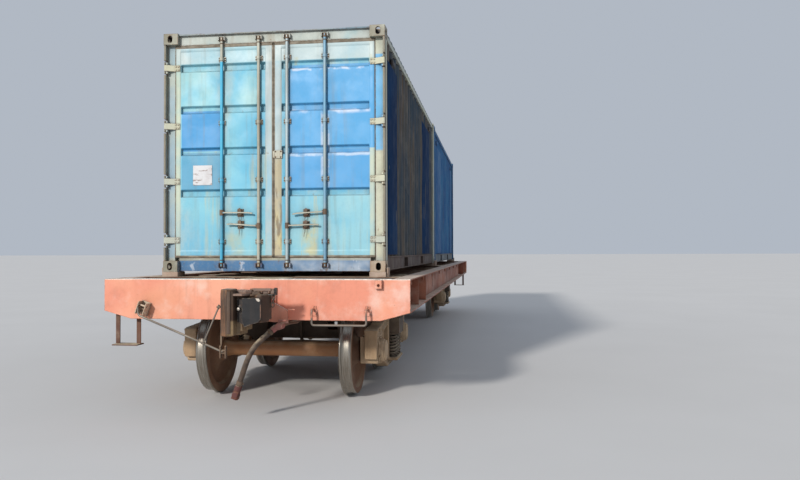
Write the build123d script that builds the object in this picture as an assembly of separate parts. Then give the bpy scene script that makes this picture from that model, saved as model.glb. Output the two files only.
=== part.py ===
from build123d import *
import math
import os

# Four-axle open-frame flatcar for the broad (1520 mm) gauge with two twenty-foot boxes, end to end.
# X is across, Y along the car (the end with the near box doors is at -Y), Z up from the wheel flange tips. All in mm.

# ---------------------------------------------------------------- driving dimensions
# running gear
FLANGE_R = 506.5
TREAD_R = 478.5
AXLE_Z = FLANGE_R
BACK_TO_BACK = 1440.0
RIM_W = 130.0
BOGIE_Y = 4700.0
AXLE_HALF = 925.0
JOURNAL_X = 1018.0
# car frame
FRAME_HALF_L = 6700.0
FRAME_HALF_W = 1550.0
DECK_Z = 1326.0
SILL_BOT = 1000.0
BEAM_MID_BOT = 928.0
BEAM_SIDE_BOT = 1007.0
COUPLER_Z = 1083.0
COUPLER_NOSE = 7310.0
COUPLER_PIN_Y = 6290.0
COUPLER_SWING = 2.9
# boxes
BOX_L = 6058.0
BOX_W = 2438.0
BOX_H = 2591.0
BOX_Z = 1378.0
BOX_DOOR_Y = -6100.0
CAST_X, CAST_Y, CAST_Z = 162.0, 178.0, 118.0
HW = BOX_W / 2
HINGE_X, HINGE_Y = 1208.0, 12.0
LEAF_IN, LEAF_OUT = 6.0, 1100.0
LEAF_FRONT, LEAF_BACK = 52.0, 100.0
LEAF_Z0, LEAF_Z1 = 158.0, 2462.0
RAIL_OUT = 1202.0  # outer face of the box's long rails, inside the castings so that an opened leaf lies flat
# brake hose
HOSE_D = 52.0


# ---------------------------------------------------------------- helpers
def blk(x0, x1, y0, y1, z0, z1):
    return Pos((x0 + x1) / 2, (y0 + y1) / 2, (z0 + z1) / 2) * Box(abs(x1 - x0), abs(y1 - y0), abs(z1 - z0))


def cylx(x0, x1, y, z, r):
    return Pos((x0 + x1) / 2, y, z) * Rot(0, 90, 0) * Cylinder(r, abs(x1 - x0))


def cyly(x, y0, y1, z, r):
    return Pos(x, (y0 + y1) / 2, z) * Rot(90, 0, 0) * Cylinder(r, abs(y1 - y0))


def cylz(x, y, z0, z1, r):
    return Pos(x, y, (z0 + z1) / 2) * Cylinder(r, abs(z1 - z0))


def prism(pts3, vec):
    """Closed polygon of 3-D points pushed along vec."""
    face = make_face(Polyline(*[Vector(*p) for p in pts3], close=True))
    v = Vector(*vec)
    return extrude(face, amount=v.length, dir=v.normalized())


def prism_x(yz, x0, x1):
    return prism([(x0, y, z) for y, z in yz], (x1 - x0, 0, 0))


def prism_y(xz, y0, y1):
    return prism([(x, y0, z) for x, z in xz], (0, y1 - y0, 0))


def prism_z(xy, z0, z1):
    return prism([(x, y, z0) for x, y in xy], (0, 0, z1 - z0))


def rod(pts, r, bend=None):
    """Round bar along straight runs, bent round arcs of radius bend, mitred where bend is None."""
    pts = [Vector(*p) for p in pts]
    if len(pts) == 2 or bend is None:
        path = Polyline(*pts)
    else:
        path = FilletPolyline(*pts, radius=bend)
    start = Plane(origin=pts[0], z_dir=(pts[1] - pts[0]).normalized())
    return sweep(start * Circle(r), path=path, transition=Transition.RIGHT)


def turned(shape):
    """The same piece at the other end of the car: half a turn about Z."""
    return Rot(0, 0, 180) * shape


def mirror_x(shape):
    return mirror(shape, about=Plane.YZ)


def fuse(shapes):
    out = shapes[0]
    rest = shapes[1:]
    return out.fuse(*rest) if rest else out


def solids_of(shapes):
    out = []
    for s in shapes:
        if isinstance(s, (list, tuple)):
            out += solids_of(s)
        else:
            out += list(s.solids())
    return out


def save(name, *shapes):
    solids = solids_of(shapes)
    os.makedirs("parts", exist_ok=True)
    export_step(Compound(children=solids) if len(solids) > 1 else solids[0], f"parts/{name}.step")


# ---------------------------------------------------------------- centre sill
# half outline of the hat section, columns: x, z
HAT = [(0, 1320), (230, 1320), (230, 1306), (185, 1306), (185, 1014), (230, 1014), (230, SILL_BOT), (175, SILL_BOT), (175, 1306), (0, 1306)]
hat = HAT + [(-x, z) for x, z in reversed(HAT[1:-1])]
save("centre_sill", prism_y(hat, -(FRAME_HALF_L - 12), FRAME_HALF_L - 12))

# ---------------------------------------------------------------- side sills
# outline of the outward-facing channel, columns: x, z
CHANNEL = [(1370, 1326), (1550, 1326), (1550, 1312), (1384, 1312), (1384, 1016), (1550, 1016), (1550, SILL_BOT), (1370, SILL_BOT)]
OUTER_WEB_HALF_L = 4100.0
sills = []
for side in (1, -1):
    s = prism_y([(side * x, z) for x, z in CHANNEL], -(FRAME_HALF_L - 12), FRAME_HALF_L - 12)
    web = blk(side * 1442, side * 1452, -OUTER_WEB_HALF_L, OUTER_WEB_HALF_L, 1016, 1312)
    ends = [blk(side * 1384, side * 1452, y * OUTER_WEB_HALF_L - 5, y * OUTER_WEB_HALF_L + 5, 1016, 1312) for y in (1, -1)]
    gussets = [blk(side * 1384, side * 1530, y - 6, y + 6, 1016, 1312) for y in (-6560, 6560, -5750, 5750, -4950, 4950)]
    sills.append(fuse([s, web] + ends + gussets))
save("side_sills", *sills)

# ---------------------------------------------------------------- end beams with striker and brackets
BEAM = [(1550, DECK_Z), (1550, BEAM_SIDE_BOT), (1266, BEAM_MID_BOT)]
beam_outline = BEAM + [(-x, z) for x, z in reversed(BEAM)]


def end_beam():
    y0, y1 = -FRAME_HALF_L, -FRAME_HALF_L + 12
    plate = prism_y(beam_outline, y0, y1) - blk(-160, 160, y0 - 5, y1 + 5, 985, 1186)
    bits = [plate]
    for s in (1, -1):
        bits.append(blk(s * 232, s * 1368, y1, y1 + 130, DECK_Z - 12, DECK_Z))
        bits.append(blk(s * 300, s * 1260, y1, y1 + 110, BEAM_MID_BOT, BEAM_MID_BOT + 12))
        for x in (520, 900, 1240):
            bits.append(blk(s * (x - 5), s * (x + 5), y1, y1 + 105, BEAM_MID_BOT + 12, DECK_Z - 12))
    striker = blk(-205, 205, y0 - 90, y0, 950, 1205) - blk(-152, 152, y0 - 95, y0 + 5, 988, 1180)
    lip = blk(-240, 240, y0 - 18, y0, 935, 1225) - blk(-160, 160, y0 - 25, y0 + 5, 985, 1186)
    pipe_plate = prism_y([(206, 1104), (268, 1104), (384, 1042), (396, 1030), (400, 912), (206, 928)], y0 - 155, y0 - 143)
    pipe_arm = blk(248, 260, y0 - 143, y0, 940, 1080)
    lug = blk(1216, 1281, y0 - 44, y0, 1237, 1322) - cyly(1249, y0 - 50, y0 + 2, 1268, 14)
    return fuse(bits + [lip, striker, pipe_plate, pipe_arm, lug])


beam = end_beam()
save("end_beams", beam, turned(beam))

# ---------------------------------------------------------------- body bolsters, with centre plate and side bearers
# half outline, columns: x, z
BOLSTER = [(1368, 1302), (1368, 1010), (1100, 990), (640, 905), (0, 905)]
bolster_outline = BOLSTER + [(-x, z) for x, z in reversed(BOLSTER[:-1])]
bolsters = []
for s in (1, -1):
    y = s * BOGIE_Y
    b = prism_y(bolster_outline, y - 150, y + 150)
    b = b - blk(-187, 187, y - 160, y + 160, 998, 1320) - blk(-232, 232, y - 160, y + 160, 998, 1016)
    b = b - cyly(390, y - 160, y + 160, 962, 26) - cyly(-390, y - 160, y + 160, 962, 26)
    plate = cylz(0, y, 833, 905, 150)
    pin = cylz(0, y, 745, 833, 27)
    bearers = [blk(x - 70, x + 70, y - 90, y + 90, 868, 925) for x in (-762, 762)]
    bolsters.append(fuse([b, plate, pin] + bearers))
save("body_bolsters", *bolsters)

# ---------------------------------------------------------------- cross members
# columns: y, half width along y, bottom z, top z
CROSS = [
    (6011, 110, 1120, 1326),
    (5320, 45, 1140, 1300),
    (4110, 45, 1140, 1300),
    (3300, 45, 1110, 1300),
    (2500, 45, 1060, 1300),
    (1700, 45, 1060, 1300),
    (900, 45, 1060, 1300),
    (500, 45, 1060, 1300),
    (131, 105, 1060, 1326),
]
members = []
for y, hw, z0, z1 in CROSS:
    for sy in (1, -1):
        for sx in (1, -1):
            x0 = 187 if z1 < 1306 else 232
            m = blk(sx * x0, sx * 1368, sy * y - hw, sy * y + hw, z0, z1)
            # channel shape: hollow on one face
            m = m - blk(sx * (x0 + 40), sx * 1340, sy * y + sy * (hw - 2 * hw + 12), sy * y + sy * (hw + 5), z0 + 12, z1 - 12)
            members.append(m)
save("cross_members", *members)

# ---------------------------------------------------------------- box pads on the frame, each with a locating cone
pads = []
for y in (6011, 131):
    for sy in (1, -1):
        for sx in (1, -1):
            x, yy = sx * 1138, sy * y
            pad = blk(x - 88, x + 88, yy - 95, yy + 95, DECK_Z, BOX_Z)
            cone = Pos(x, yy, BOX_Z + 9) * Box(44, 96, 18)
            stop = blk(sx * 1227, sx * 1245, yy - 60, yy + 60, DECK_Z, BOX_Z + 46)
            pads.append(fuse([pad, cone, stop]))
save("box_pads", *pads)


# ---------------------------------------------------------------- couplers and draft gear
def coupler(swing):
    n = -COUPLER_NOSE
    # plan outline of the head, columns: x, y ahead of the nose plane
    head = prism_z([(-143, n), (-84, n), (-34, n + 34), (-26, n + 110), (10, n + 122), (148, n + 122), (160, n + 66), (216, n + 72),
                    (276, n + 190), (178, n + 300), (66, n + 352), (-66, n + 352), (-143, n + 260)], 975, 1192)
    jaw = prism_z([(-143, n), (-84, n), (-34, n + 34), (-26, n + 110), (-40, n + 170), (-143, n + 215)], 832, 1258)
    lock = blk(38, 150, n + 50, n + 130, 984, 1176)
    tooth = prism_z([(160, n + 66), (216, n + 72), (262, n + 160), (190, n + 200)], 948, 1205)
    belly = prism_z([(-110, n + 110), (24, n + 130), (60, n + 330), (-66, n + 340)], 832, 975)
    crown = prism_z([(-40, n + 140), (190, n + 160), (150, n + 300), (-40, n + 320)], 1192, 1232)
    shank = blk(-65, 65, n + 340, -COUPLER_PIN_Y, 998, 1168)
    tail = cylz(0, -COUPLER_PIN_Y, 998, 1168, 65)
    c = fuse([head, jaw, lock, tooth, belly, crown, shank, tail]) - cylz(0, -COUPLER_PIN_Y, 990, 1180, 29)
    pin = Pos(0, -COUPLER_PIN_Y, 0)
    return pin * Rot(0, 0, swing) * Pos(0, COUPLER_PIN_Y, 0) * c


save("coupler_front", coupler(COUPLER_SWING))
save("coupler_rear", turned(coupler(0)))

draft = []
for s in (1, -1):
    y = -COUPLER_PIN_Y
    gear = blk(-150, 150, y + 85, y + 640, 1010, 1160)
    straps = [blk(-80, 80, y - 60, y + 85, 1174, 1194), blk(-80, 80, y - 60, y + 85, 972, 992),
              blk(-80, 80, y + 85, y + 640, 1160, 1194), blk(-80, 80, y + 85, y + 640, 972, 1010)]
    carrier = blk(-174, 174, y + 640, y + 680, 1003, 1200)
    g = fuse([gear, carrier, cylz(0, y, 992, 1174, 26)] + straps)
    draft.append(g if s == 1 else turned(g))
save("draft_gear", *draft)


# ---------------------------------------------------------------- uncoupling levers, grab handles, steps
def uncoupling():
    y0 = -FRAME_HALF_L
    bracket = prism_y([(-1185, 1120), (-1090, 1128), (-1052, 1010), (-1095, 955), (-1180, 960)], y0 - 14, y0)
    cheek = blk(-1180, -1168, y0 - 105, y0 - 14, 960, 1105) - cylx(-1190, -1160, y0 - 70, 1075, 11) - cylx(-1190, -1160, y0 - 70, 1015, 11)
    cheek2 = blk(-1092, -1080, y0 - 105, y0 - 14, 960, 1105) - cylx(-1100, -1070, y0 - 70, 1075, 11) - cylx(-1100, -1070, y0 - 70, 1015, 11)
    lever = rod([(-1144, y0 - 96, 1052), (-1144, y0 - 96, 974), (-452, y0 - 128, 707), (-300, y0 - 126, 1058)], 11, 34)
    cross = cylx(-1168, -1092, y0 - 96, 1046, 12)
    arm = rod([(-456, y0 - 128, 711), (-258, y0 - 130, 628)], 11)
    foot = blk(-284, -220, y0 - 144, y0 - 112, 612, 646)
    prongs = [blk(x, x + 12, y0 - 150, y0 - 110, 566, 690) for x in (-284, -232)]
    hanger = blk(-284, -272, y0 - 122, y0 - 110, 680, 950)
    hang_top = blk(-284, -272, y0 - 122, y0 - 90, 938, 950)
    keeper = blk(-316, -282, y0 - 144, y0, 1052, 1070)
    return fuse([bracket, cheek, cheek2, lever, cross, arm, foot, hanger, hang_top, keeper] + prongs)


lever = uncoupling()
save("uncoupling_levers", lever, turned(lever))


def grab():
    y0 = -FRAME_HALF_L
    bar = rod([(612, y0, 1038), (612, y0 - 92, 1038), (612, y0 - 92, 890), (1140, y0 - 92, 890), (1140, y0 - 92, 1038), (1140, y0, 1038)], 10, 24)
    feet = [blk(x - 22, x + 22, y0 - 8, y0, 1008, 1068) for x in (612, 1140)]
    return fuse([bar] + feet)


g = grab()


def step():
    # stirrup under the corner
    hang = [blk(x - 22, x + 22, -6610, -6598, 667, top) for x, top in ((-1455, SILL_BOT), (-1232, BEAM_MID_BOT))]
    tread = blk(-1477, -1210, -6690, -6540, 655, 667)
    return fuse(hang + [tread])


st = step()
save("grab_handles", g, turned(g))
save("corner_steps", st, turned(st))


# ---------------------------------------------------------------- brake pipe, end valves, hoses
VALVE = (340.0, -6935.0, 893.0)
PIPE_X = 385.0
# route of the free hose: columns x, y, z
HOSE = [(272, -6960, 852), (160, -7030, 752), (90, -7060, 640), (40, -7065, 505), (-14, -7055, 350)]


def end_valve():
    x, y, z = VALVE
    body = cyly(x, y - 35, y + 77, z, 33)
    p0, p1 = Vector(*HOSE[0]), Vector(*HOSE[1])
    back = p0 - (p1 - p0).normalized() * 46
    neck = fuse([Plane(origin=p0 - (p1 - p0).normalized() * 27, z_dir=p1 - p0) * Cylinder(30, 54), rod([(x, y, z), (back.X, back.Y, back.Z)], 27)])
    handle = blk(x - 8, x + 8, y - 20, y + 8, z + 25, z + 62)
    grip = blk(x - 8, x + 70, y - 20, y + 8, z + 50, z + 62)
    return fuse([body, neck, handle, grip])


v = end_valve()
save("end_valves", v, turned(v))



def hose_radii(pts):
    out = []
    for a, b, c in zip(pts, pts[1:], pts[2:]):
        a, b, c = Vector(*a), Vector(*b), Vector(*c)
        turn = math.radians((b - a).get_angle(c - b))
        out.append(0.45 * min((b - a).length, (c - b).length) / math.tan(turn / 2))
    return out


radii = hose_radii(HOSE)
hose_path = FilletPolyline(*[Vector(*p) for p in HOSE], radius=radii)
hose_start = Plane(origin=HOSE[0], z_dir=(Vector(*HOSE[1]) - Vector(*HOSE[0])).normalized())
hose = sweep(hose_start * Circle(HOSE_D / 2), path=hose_path)
print("hose radii", [round(r) for r in radii], "length", round(hose_path.length, 1), "volume/section", round(hose.volume / (math.pi * HOSE_D ** 2 / 4), 1))
save("brake_hose_front", hose)
save("brake_hose_rear", turned(hose))


def connector():
    a, b = Vector(*HOSE[-2]), Vector(*HOSE[-1])
    d = (b - a).normalized()
    neck = Pos(0, 0, 0) * (Plane(origin=b + d * 35, z_dir=d) * Cylinder(34, 70))
    head_at = Plane(origin=b + d * 108, z_dir=d)
    head = head_at * Box(62, 92, 90)
    lug = head_at * Pos(0, 52, 24) * Box(30, 26, 40)
    return fuse([neck, head, lug])


cn = connector()
save("hose_connectors", cn, turned(cn))

x, y, z = VALVE
pipe_half = [(x, y + 77, z), (x, -6620, z), (PIPE_X, -6480, z), (PIPE_X, -6180, 962), (PIPE_X, -700, 962)]
pipe = rod(pipe_half + [(-a, -b, c) for a, b, c in reversed(pipe_half)], 17, 90)
clips = []
for s in (1, -1):
    for yy in (-5950, -5100, -3600, -2700, -1700):
        clip = blk(PIPE_X - 26, PIPE_X + 26, yy - 12, yy + 12, 936, 945)
        hang = blk(PIPE_X - 34, PIPE_X - 22, yy - 12, yy + 12, 936, 990)
        arm = blk(196, PIPE_X - 22, yy - 12, yy + 12, 988, 1000)
        clips.append(fuse([clip, hang, arm]) if s == 1 else turned(fuse([clip, hang, arm])))
save("brake_pipe", pipe)
save("pipe_brackets", *clips)

# ---------------------------------------------------------------- brake equipment between the bogies
# half section of the tank with dished ends, columns: y, r
TANK = [(330, 0), (330, 60), (345, 120), (372, 165), (410, 190), (440, 195), (960, 195), (990, 190), (1028, 165), (1055, 120), (1070, 60), (1070, 0)]
tank_face = make_face(Polyline(*[Vector(820 + r, yy, 830) for yy, r in TANK], close=True))
save("air_reservoir", revolve(tank_face, Axis((820, 0, 830), (0, 1, 0)), 360))
straps = []
for yy in (500, 900):
    ring = cyly(820, yy - 22, yy + 22, 830, 207) - cyly(820, yy - 30, yy + 30, 830, 195)
    straps.append(fuse([ring] + [blk(820 + a, 820 + b, yy - 22, yy + 22, 850, 1060) for a, b in ((-207, -197), (197, 207))]))
save("reservoir_straps", *straps)

cyl = cyly(-700, -1330, -860, 880, 178)
cyl_rod = cyly(-700, -860, -604, 880, 26)
cyl_foot = blk(-790, -610, -1320, -1300, 1040, 1060)
mount = blk(-860, -540, -945, -855, 1046, 1060)
save("brake_cylinder", fuse([cyl, cyl_rod, blk(-760, -640, -945, -865, 1000, 1060)]))
save("air_distributor", fuse([blk(560, 800, -1010, -790, 820, 1060), cyly(680, -1080, -1010, 930, 85), cyly(680, -790, -720, 930, 70)]))

# levers and long rods: columns x0, x1, y, z
main_lever = prism_z([(-740, -560), (-660, -560), (-10, -500), (60, -500), (60, -560), (-10, -570), (-660, -604), (-740, -604)], 868, 892)
long_rod = [rod([(30, -530, 880), (30, -3050, 880)], 14), rod([(-330, -548, 905), (-330, -300, 905), (-30, 250, 905), (-30, 3050, 905)], 14, 60)]
fork = [blk(10, 50, -3120, -3040, 862, 898), blk(-50, -10, 3040, 3120, 887, 923)]
pivot = cylz(-330, -548, 868, 919, 20)
save("brake_rods", fuse([main_lever, long_rod[0], fork[0], pivot, long_rod[1], fork[1]]))

rim = Pos(-1450, 2600, 760) * Rot(0, 90, 0) * Torus(210, 16)
hub = cylx(-1464, -1436, 2600, 760, 45)
spokes = [Pos(-1450, 2600, 760) * Rot(a, 0, 0) * Pos(0, 0, 110) * Cylinder(11, 200) for a in range(0, 360, 72)]
shaft = cylx(-1436, -1180, 2600, 760, 20)
post = blk(-1290, -1250, 2570, 2630, 760, 1060) + blk(-1290, -1250, 2480, 2560, 1040, 1060)
drum = cylx(-1240, -1180, 2600, 760, 45)
leg = blk(-1290, -1250, 2455, 2630, 1030, 1060)
save("handbrake", fuse([rim, hub, shaft, blk(-1290, -1250, 2570, 2630, 735, 1060), leg, drum] + spokes))


# ---------------------------------------------------------------- bogies
# outline of the cast side frame, columns: y from the pivot, z
SIDE = [(430, 845), (760, 772), (1118, 754), (1152, 716), (1152, 430), (1092, 430), (1092, 664), (758, 664), (758, 405), (690, 362), (345, 235)]
side_outline = SIDE + [(-a, b) for a, b in reversed(SIDE)]
WINDOW = [(312, 728), (640, 690), (655, 660), (655, 470), (560, 405), (312, 335)]
AXLES = (-AXLE_HALF, AXLE_HALF)
SPRINGS = [(0, -130), (0, 130), (-150, 0), (0, 0), (150, 0), (-150, -130), (150, -130)]  # columns: y, x offset
SPRING_XY = [(-156, -84), (0, -84), (156, -84), (-156, 84), (0, 84), (156, 84)]


def side_frame(sx, py):
    x0, x1 = sx * (JOURNAL_X - 70), sx * (JOURNAL_X + 70)
    f = prism_x([(py + a, b) for a, b in side_outline], x0, x1)
    f = f - blk(x0 - sx * 10, x1 + sx * 10, py - 238, py + 238, 322, 792)
    for m in (1, -1):
        f = f - prism_x([(py + m * a, b) for a, b in WINDOW], x0 - sx * 10, x1 + sx * 10)
        # relief between the ribs on both faces
        f = f - blk(sx * (JOURNAL_X + 42), x1 + sx * 5, py + m * 440, py + m * 1060, 700, 738)
    seat = blk(sx * (JOURNAL_X - 168), sx * (JOURNAL_X + 168), py - 237, py + 237, 290, 322)
    return fuse([f, seat])


def bogie_bolster(py):
    # half outline, columns: x, z
    half = [(1200, 792), (1200, 600), (830, 600), (700, 560), (0, 520), (0, 830), (760, 830), (850, 788)]
    pts = [(1200, 788), (1200, 600), (820, 600), (640, 545), (-640, 545), (-820, 600), (-1200, 600), (-1200, 788), (-850, 788), (-620, 830), (620, 830), (850, 788)]
    b = prism_y(pts, py - 190, py + 190)
    bowl = cylz(0, py, 830, 866, 182) - cylz(0, py, 831, 870, 156)
    bearers = [fuse([blk(x - 60, x + 60, py - 80, py + 80, 786, 858)]) for x in (-762, 762)]
    pockets = [blk(x - 60, x + 60, py - 200, py + 200, 640, 740) for x in (-380, 380)]
    b = fuse([b, bowl] + bearers) - cylz(0, py, 700, 835, 31)
    for p in pockets:
        b = b - p
    return b


def springs(py):
    out = []
    for sx in (1, -1):
        for yy, dx in SPRING_XY:
            out.append(cylz(sx * JOURNAL_X + dx, py + yy, 322, 600, 70))
    return out


def axleboxes(py):
    out = []
    for sx in (1, -1):
        for a in AXLES:
            y = py + a
            box = blk(sx * 892, sx * 1082, y - 157, y + 157, 372, 664)
            ring = cylx(sx * 884, sx * 892, y, AXLE_Z, 120)
            cover = cylx(sx * 1082, sx * 1140, y, AXLE_Z, 146)
            cap = cylx(sx * 1140, sx * 1166, y, AXLE_Z, 112)
            b = fuse([box, ring, cover, cap]) - cylx(sx * 925, sx * 1152, y, AXLE_Z, 72) - cylx(sx * 880, sx * 932, y, AXLE_Z, 88)
            out.append(b)
    return out


def brake_gear(py):
    out = []
    for m in (1, -1):
        ax = py + m * AXLE_HALF
        # the brake beam hangs on the bogie-centre side of each axle; columns of the beam: x, y gap to the tread
        yb = ax - m * (TREAD_R + 74)
        beam_bar = blk(-770, 770, yb - 22, yb + 22, 470, 530)
        truss = prism_z([(-720, yb - m * 20), (0, yb - m * 175), (720, yb - m * 20), (720, yb - m * 52), (0, yb - m * 210), (-720, yb - m * 52)], 486, 514)
        strut = blk(-22, 22, yb - m * 195, yb, 478, 522)
        bits = [beam_bar, truss, strut]
        for sx in (1, -1):
            # shoe, curved to the tread with a running gap
            shoe = blk(sx * 760, sx * 838, yb, yb + m * 110, 340, 660) - cylx(sx * 700, sx * 900, ax, AXLE_Z, TREAD_R + 8)
            head = blk(sx * 762, sx * 822, yb - 22, yb + 22, 400, 640)
            hanger = blk(sx * 782, sx * 802, yb - 12, yb + 12, 640, 742)
            arm = blk(sx * 782, sx * 948, yb - 14, yb + 14, 716, 742)
            bits += [shoe, head, hanger, arm]
        lever = prism_x([(yb - m * 150, 470), (yb - m * 190, 470), (yb - m * 122, 800), (yb - m * 100, 800)], -16, 16)
        bits.append(lever)
        out.append(fuse(bits))
    return out


def wheelset(ay):
    """Wheel section, columns: x across from the flange back, r from the axle line."""
    x0 = BACK_TO_BACK / 2
    sec = [(x0, 410), (x0, 494), (x0 + 7, 503), (x0 + 15, FLANGE_R), (x0 + 24, 500), (x0 + 33, TREAD_R + 2), (x0 + 60, TREAD_R),
           (x0 + RIM_W - 6, TREAD_R - 3), (x0 + RIM_W, TREAD_R - 9), (x0 + RIM_W, 415), (x0 + 100, 395), (x0 + 70, 330), (x0 + 62, 200),
           (x0 + 96, 150), (x0 + 150, 132), (x0 + 150, 97), (x0 - 30, 97), (x0 - 30, 135), (x0 + 20, 150), (x0 + 40, 200), (x0 + 46, 330), (x0 + 40, 392)]
    wheels = []
    for s in (1, -1):
        face = make_face(Polyline(*[Vector(s * a, ay + b, AXLE_Z) for a, b in sec], close=True))
        wheels.append(revolve(face, Axis((0, ay, AXLE_Z), (1, 0, 0)), 360))
    # axle section, columns: x, r
    ax = [(0, 82), (600, 82), (640, 92), (690, 97), (x0 + 150, 97), (x0 + 158, 82), (918, 80), (926, 65), (1147, 65)]
    pts = [Vector(a, ay, AXLE_Z + r) for a, r in ax] + [Vector(1147, ay, AXLE_Z), Vector(-1147, ay, AXLE_Z)] + [Vector(-a, ay, AXLE_Z + r) for a, r in reversed(ax[1:])]
    axle = revolve(make_face(Polyline(*pts, close=True)), Axis((0, ay, AXLE_Z), (1, 0, 0)), 360)
    return wheels, axle


axle_no = 0
for tag, py in (("front", -BOGIE_Y), ("rear", BOGIE_Y)):
    save(f"bogie_{tag}_side_frames", side_frame(1, py), side_frame(-1, py))
    save(f"bogie_{tag}_bolster", bogie_bolster(py))
    save(f"bogie_{tag}_springs", *springs(py))
    save(f"bogie_{tag}_axleboxes", *axleboxes(py))
    save(f"bogie_{tag}_brake_gear", *brake_gear(py))
    for a in AXLES:
        axle_no += 1
        wheels, axle = wheelset(py + a)
        save(f"wheelset_{axle_no}_wheels", *wheels)
        save(f"wheelset_{axle_no}_axle", axle)


# ---------------------------------------------------------------- boxes
# Everything is first made with the door end at y = 0 facing -y and the bottom at z = 0, then moved onto the frame.
def put(shape, which):
    moved = Pos(0, BOX_DOOR_Y, BOX_Z) * shape
    return moved if which == "front" else turned(moved)


def oblong(centre, along, normal, length, width, depth):
    """Cutter for a hole with round ends: its long way, the direction it is cut in, and how far it goes to each side."""
    return extrude(Plane(origin=centre, x_dir=along, z_dir=normal) * SlotOverall(length, width), amount=depth, both=True)


def casting(x_sign, door_end, top):
    """Hollow corner casting with its three oval holes."""
    x0, x1 = HW - CAST_X, HW
    y0, y1 = (0, CAST_Y) if door_end else (BOX_L - CAST_Y, BOX_L)
    z0, z1 = (BOX_H - CAST_Z, BOX_H) if top else (0, CAST_Z)
    c = blk(x0, x1, y0, y1, z0, z1) - blk(x0 + 22, x1 - 26, y0 + 26, y1 - 26, z0 + 16, z1 - 16)
    xm, ym, zm = (x0 + x1) / 2, (y0 + y1) / 2, (z0 + z1) / 2
    ye = y0 if door_end else y1
    end_hole = oblong((xm + 8, ye, zm), (0, 0, 1), (0, 1, 0), 80, 52, 30)
    side_hole = oblong((x1, ym, zm), (0, 1, 0), (1, 0, 0), 80, 52, 30)
    zt = z1 if top else z0
    face_hole = oblong((xm, ym, zt), (0, 1, 0), (0, 0, 1), 124, 64, 20)
    c = c - end_hole - side_hole - face_hole
    return c if x_sign > 0 else mirror_x(c)


HINGE_Z = (343.0, 982.0, 1585.0, 2222.0)
BAR_X = (157.0, 570.0)


def box_frame():
    bits = []
    for sx in (1, -1):
        for door_end in (True, False):
            for top in (True, False):
                bits.append(casting(sx, door_end, top))
        # door-end post, its outer lip between the hinges, and the hinge lugs
        post = [(1109, 60), (1215, 60), (1215, 178), (1199, 178), (1199, 76), (1125, 76), (1125, 165), (1109, 165)]
        p = prism_z(post, CAST_Z, BOX_H - CAST_Z)
        parts = [p]
        stops = [CAST_Z] + [z for h in HINGE_Z for z in (h - 78, h + 78)] + [BOX_H - CAST_Z]
        for z0, z1 in zip(stops[0::2], stops[1::2]):
            parts.append(blk(1197, 1217, 6, 61, z0, z1))
        for h in HINGE_Z:
            for z0 in (h - 62, h + 38):
                lug = blk(1180, 1217, 14, 61, z0, z0 + 24) + cylz(HINGE_X, HINGE_Y + 2, z0, z0 + 24, 9)
                parts.append(lug)
            parts.append(cylz(HINGE_X, HINGE_Y, h - 62, h + 62, 5))
        # closed-end post
        parts.append(blk(1125, 1215, BOX_L - CAST_Y, BOX_L - 8, CAST_Z, BOX_H - CAST_Z))
        # top side rail
        parts.append(blk(1152, RAIL_OUT, CAST_Y, BOX_L - CAST_Y, 2500, 2560))
        whole = fuse(parts)
        bits.append(whole if sx > 0 else mirror_x(whole))
    # header and sill at the door end, rails at the closed end
    header = blk(-1057, 1057, 54, 160, 2470, 2573) - blk(-1040, 1040, 70, 150, 2440, 2560)
    sill = blk(-1057, 1057, 54, CAST_Y, 8, 150) - blk(-1040, 1040, 72, CAST_Y + 5, 20, 138)
    end_top = blk(-1057, 1057, BOX_L - 88, BOX_L - 20, BOX_H - CAST_Z, 2573)
    end_bot = blk(-1057, 1057, BOX_L - 88, BOX_L - 20, 8, 150)
    keepers = []
    for bx in BAR_X:
        for s in (1, -1):
            for z0 in (48, 2500):
                for off in (-39, 27):
                    keepers.append(blk(s * bx + off, s * bx + off + 12, 12, 54, z0, z0 + 44))
    # inner post faces that the shut leaves close on
    jambs = [blk(s * 1057, s * 1109, 112, 165, CAST_Z, BOX_H - CAST_Z) for s in (1, -1)]
    return fuse(bits + [header, sill, end_top, end_bot] + keepers + jambs)


FORK_Y = (BOX_L / 2 - 1025, BOX_L / 2 + 1025)


def box_base():
    bits = []
    for sx in (1, -1):
        rail = [(1149, 8), (RAIL_OUT, 8), (RAIL_OUT, 18), (1159, 18), (1159, 150), (RAIL_OUT, 150), (RAIL_OUT, 162), (1149, 162)]
        r = prism_y([(sx * x, z) for x, z in rail], CAST_Y, BOX_L - CAST_Y)
        for fy in FORK_Y:
            r = r - blk(sx * 1140, sx * 1220, fy - 180, fy + 180, 20, 138)
        bits.append(r)
    y = 400.0
    while y < BOX_L - 300:
        if all(abs(y - fy) > 230 for fy in FORK_Y):
            bits.append(blk(-1149, 1149, y - 22, y + 22, 30, 148) - blk(-1100, 1100, y - 16, y + 30, 38, 140))
        y += 300.0
    for fy in FORK_Y:
        bits.append(blk(-1149, 1149, fy - 192, fy + 192, 14, 148) - blk(-1200, 1200, fy - 180, fy + 180, 22, 138))
    return fuse(bits)


def box_floor():
    return fuse([blk(-1146, 1146, CAST_Y, BOX_L - CAST_Y, 150, 178), blk(-1120, 1120, BOX_L - CAST_Y, BOX_L - 78, 150, 178)])


def wave(start, stop, flat_out, slope, flat_in, depth, sheet):
    """Zigzag sheet outline along one line: columns s, t with t = 0 the outer face."""
    outer, s = [(start, 0)], start
    while s + flat_out + 2 * slope + flat_in + flat_out <= stop:
        s += flat_out
        outer.append((s, 0))
        s += slope
        outer.append((s, depth))
        s += flat_in
        outer.append((s, depth))
        s += slope
        outer.append((s, 0))
    outer.append((stop, 0))
    return outer + [(a, b + sheet) for a, b in reversed(outer)]


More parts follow.
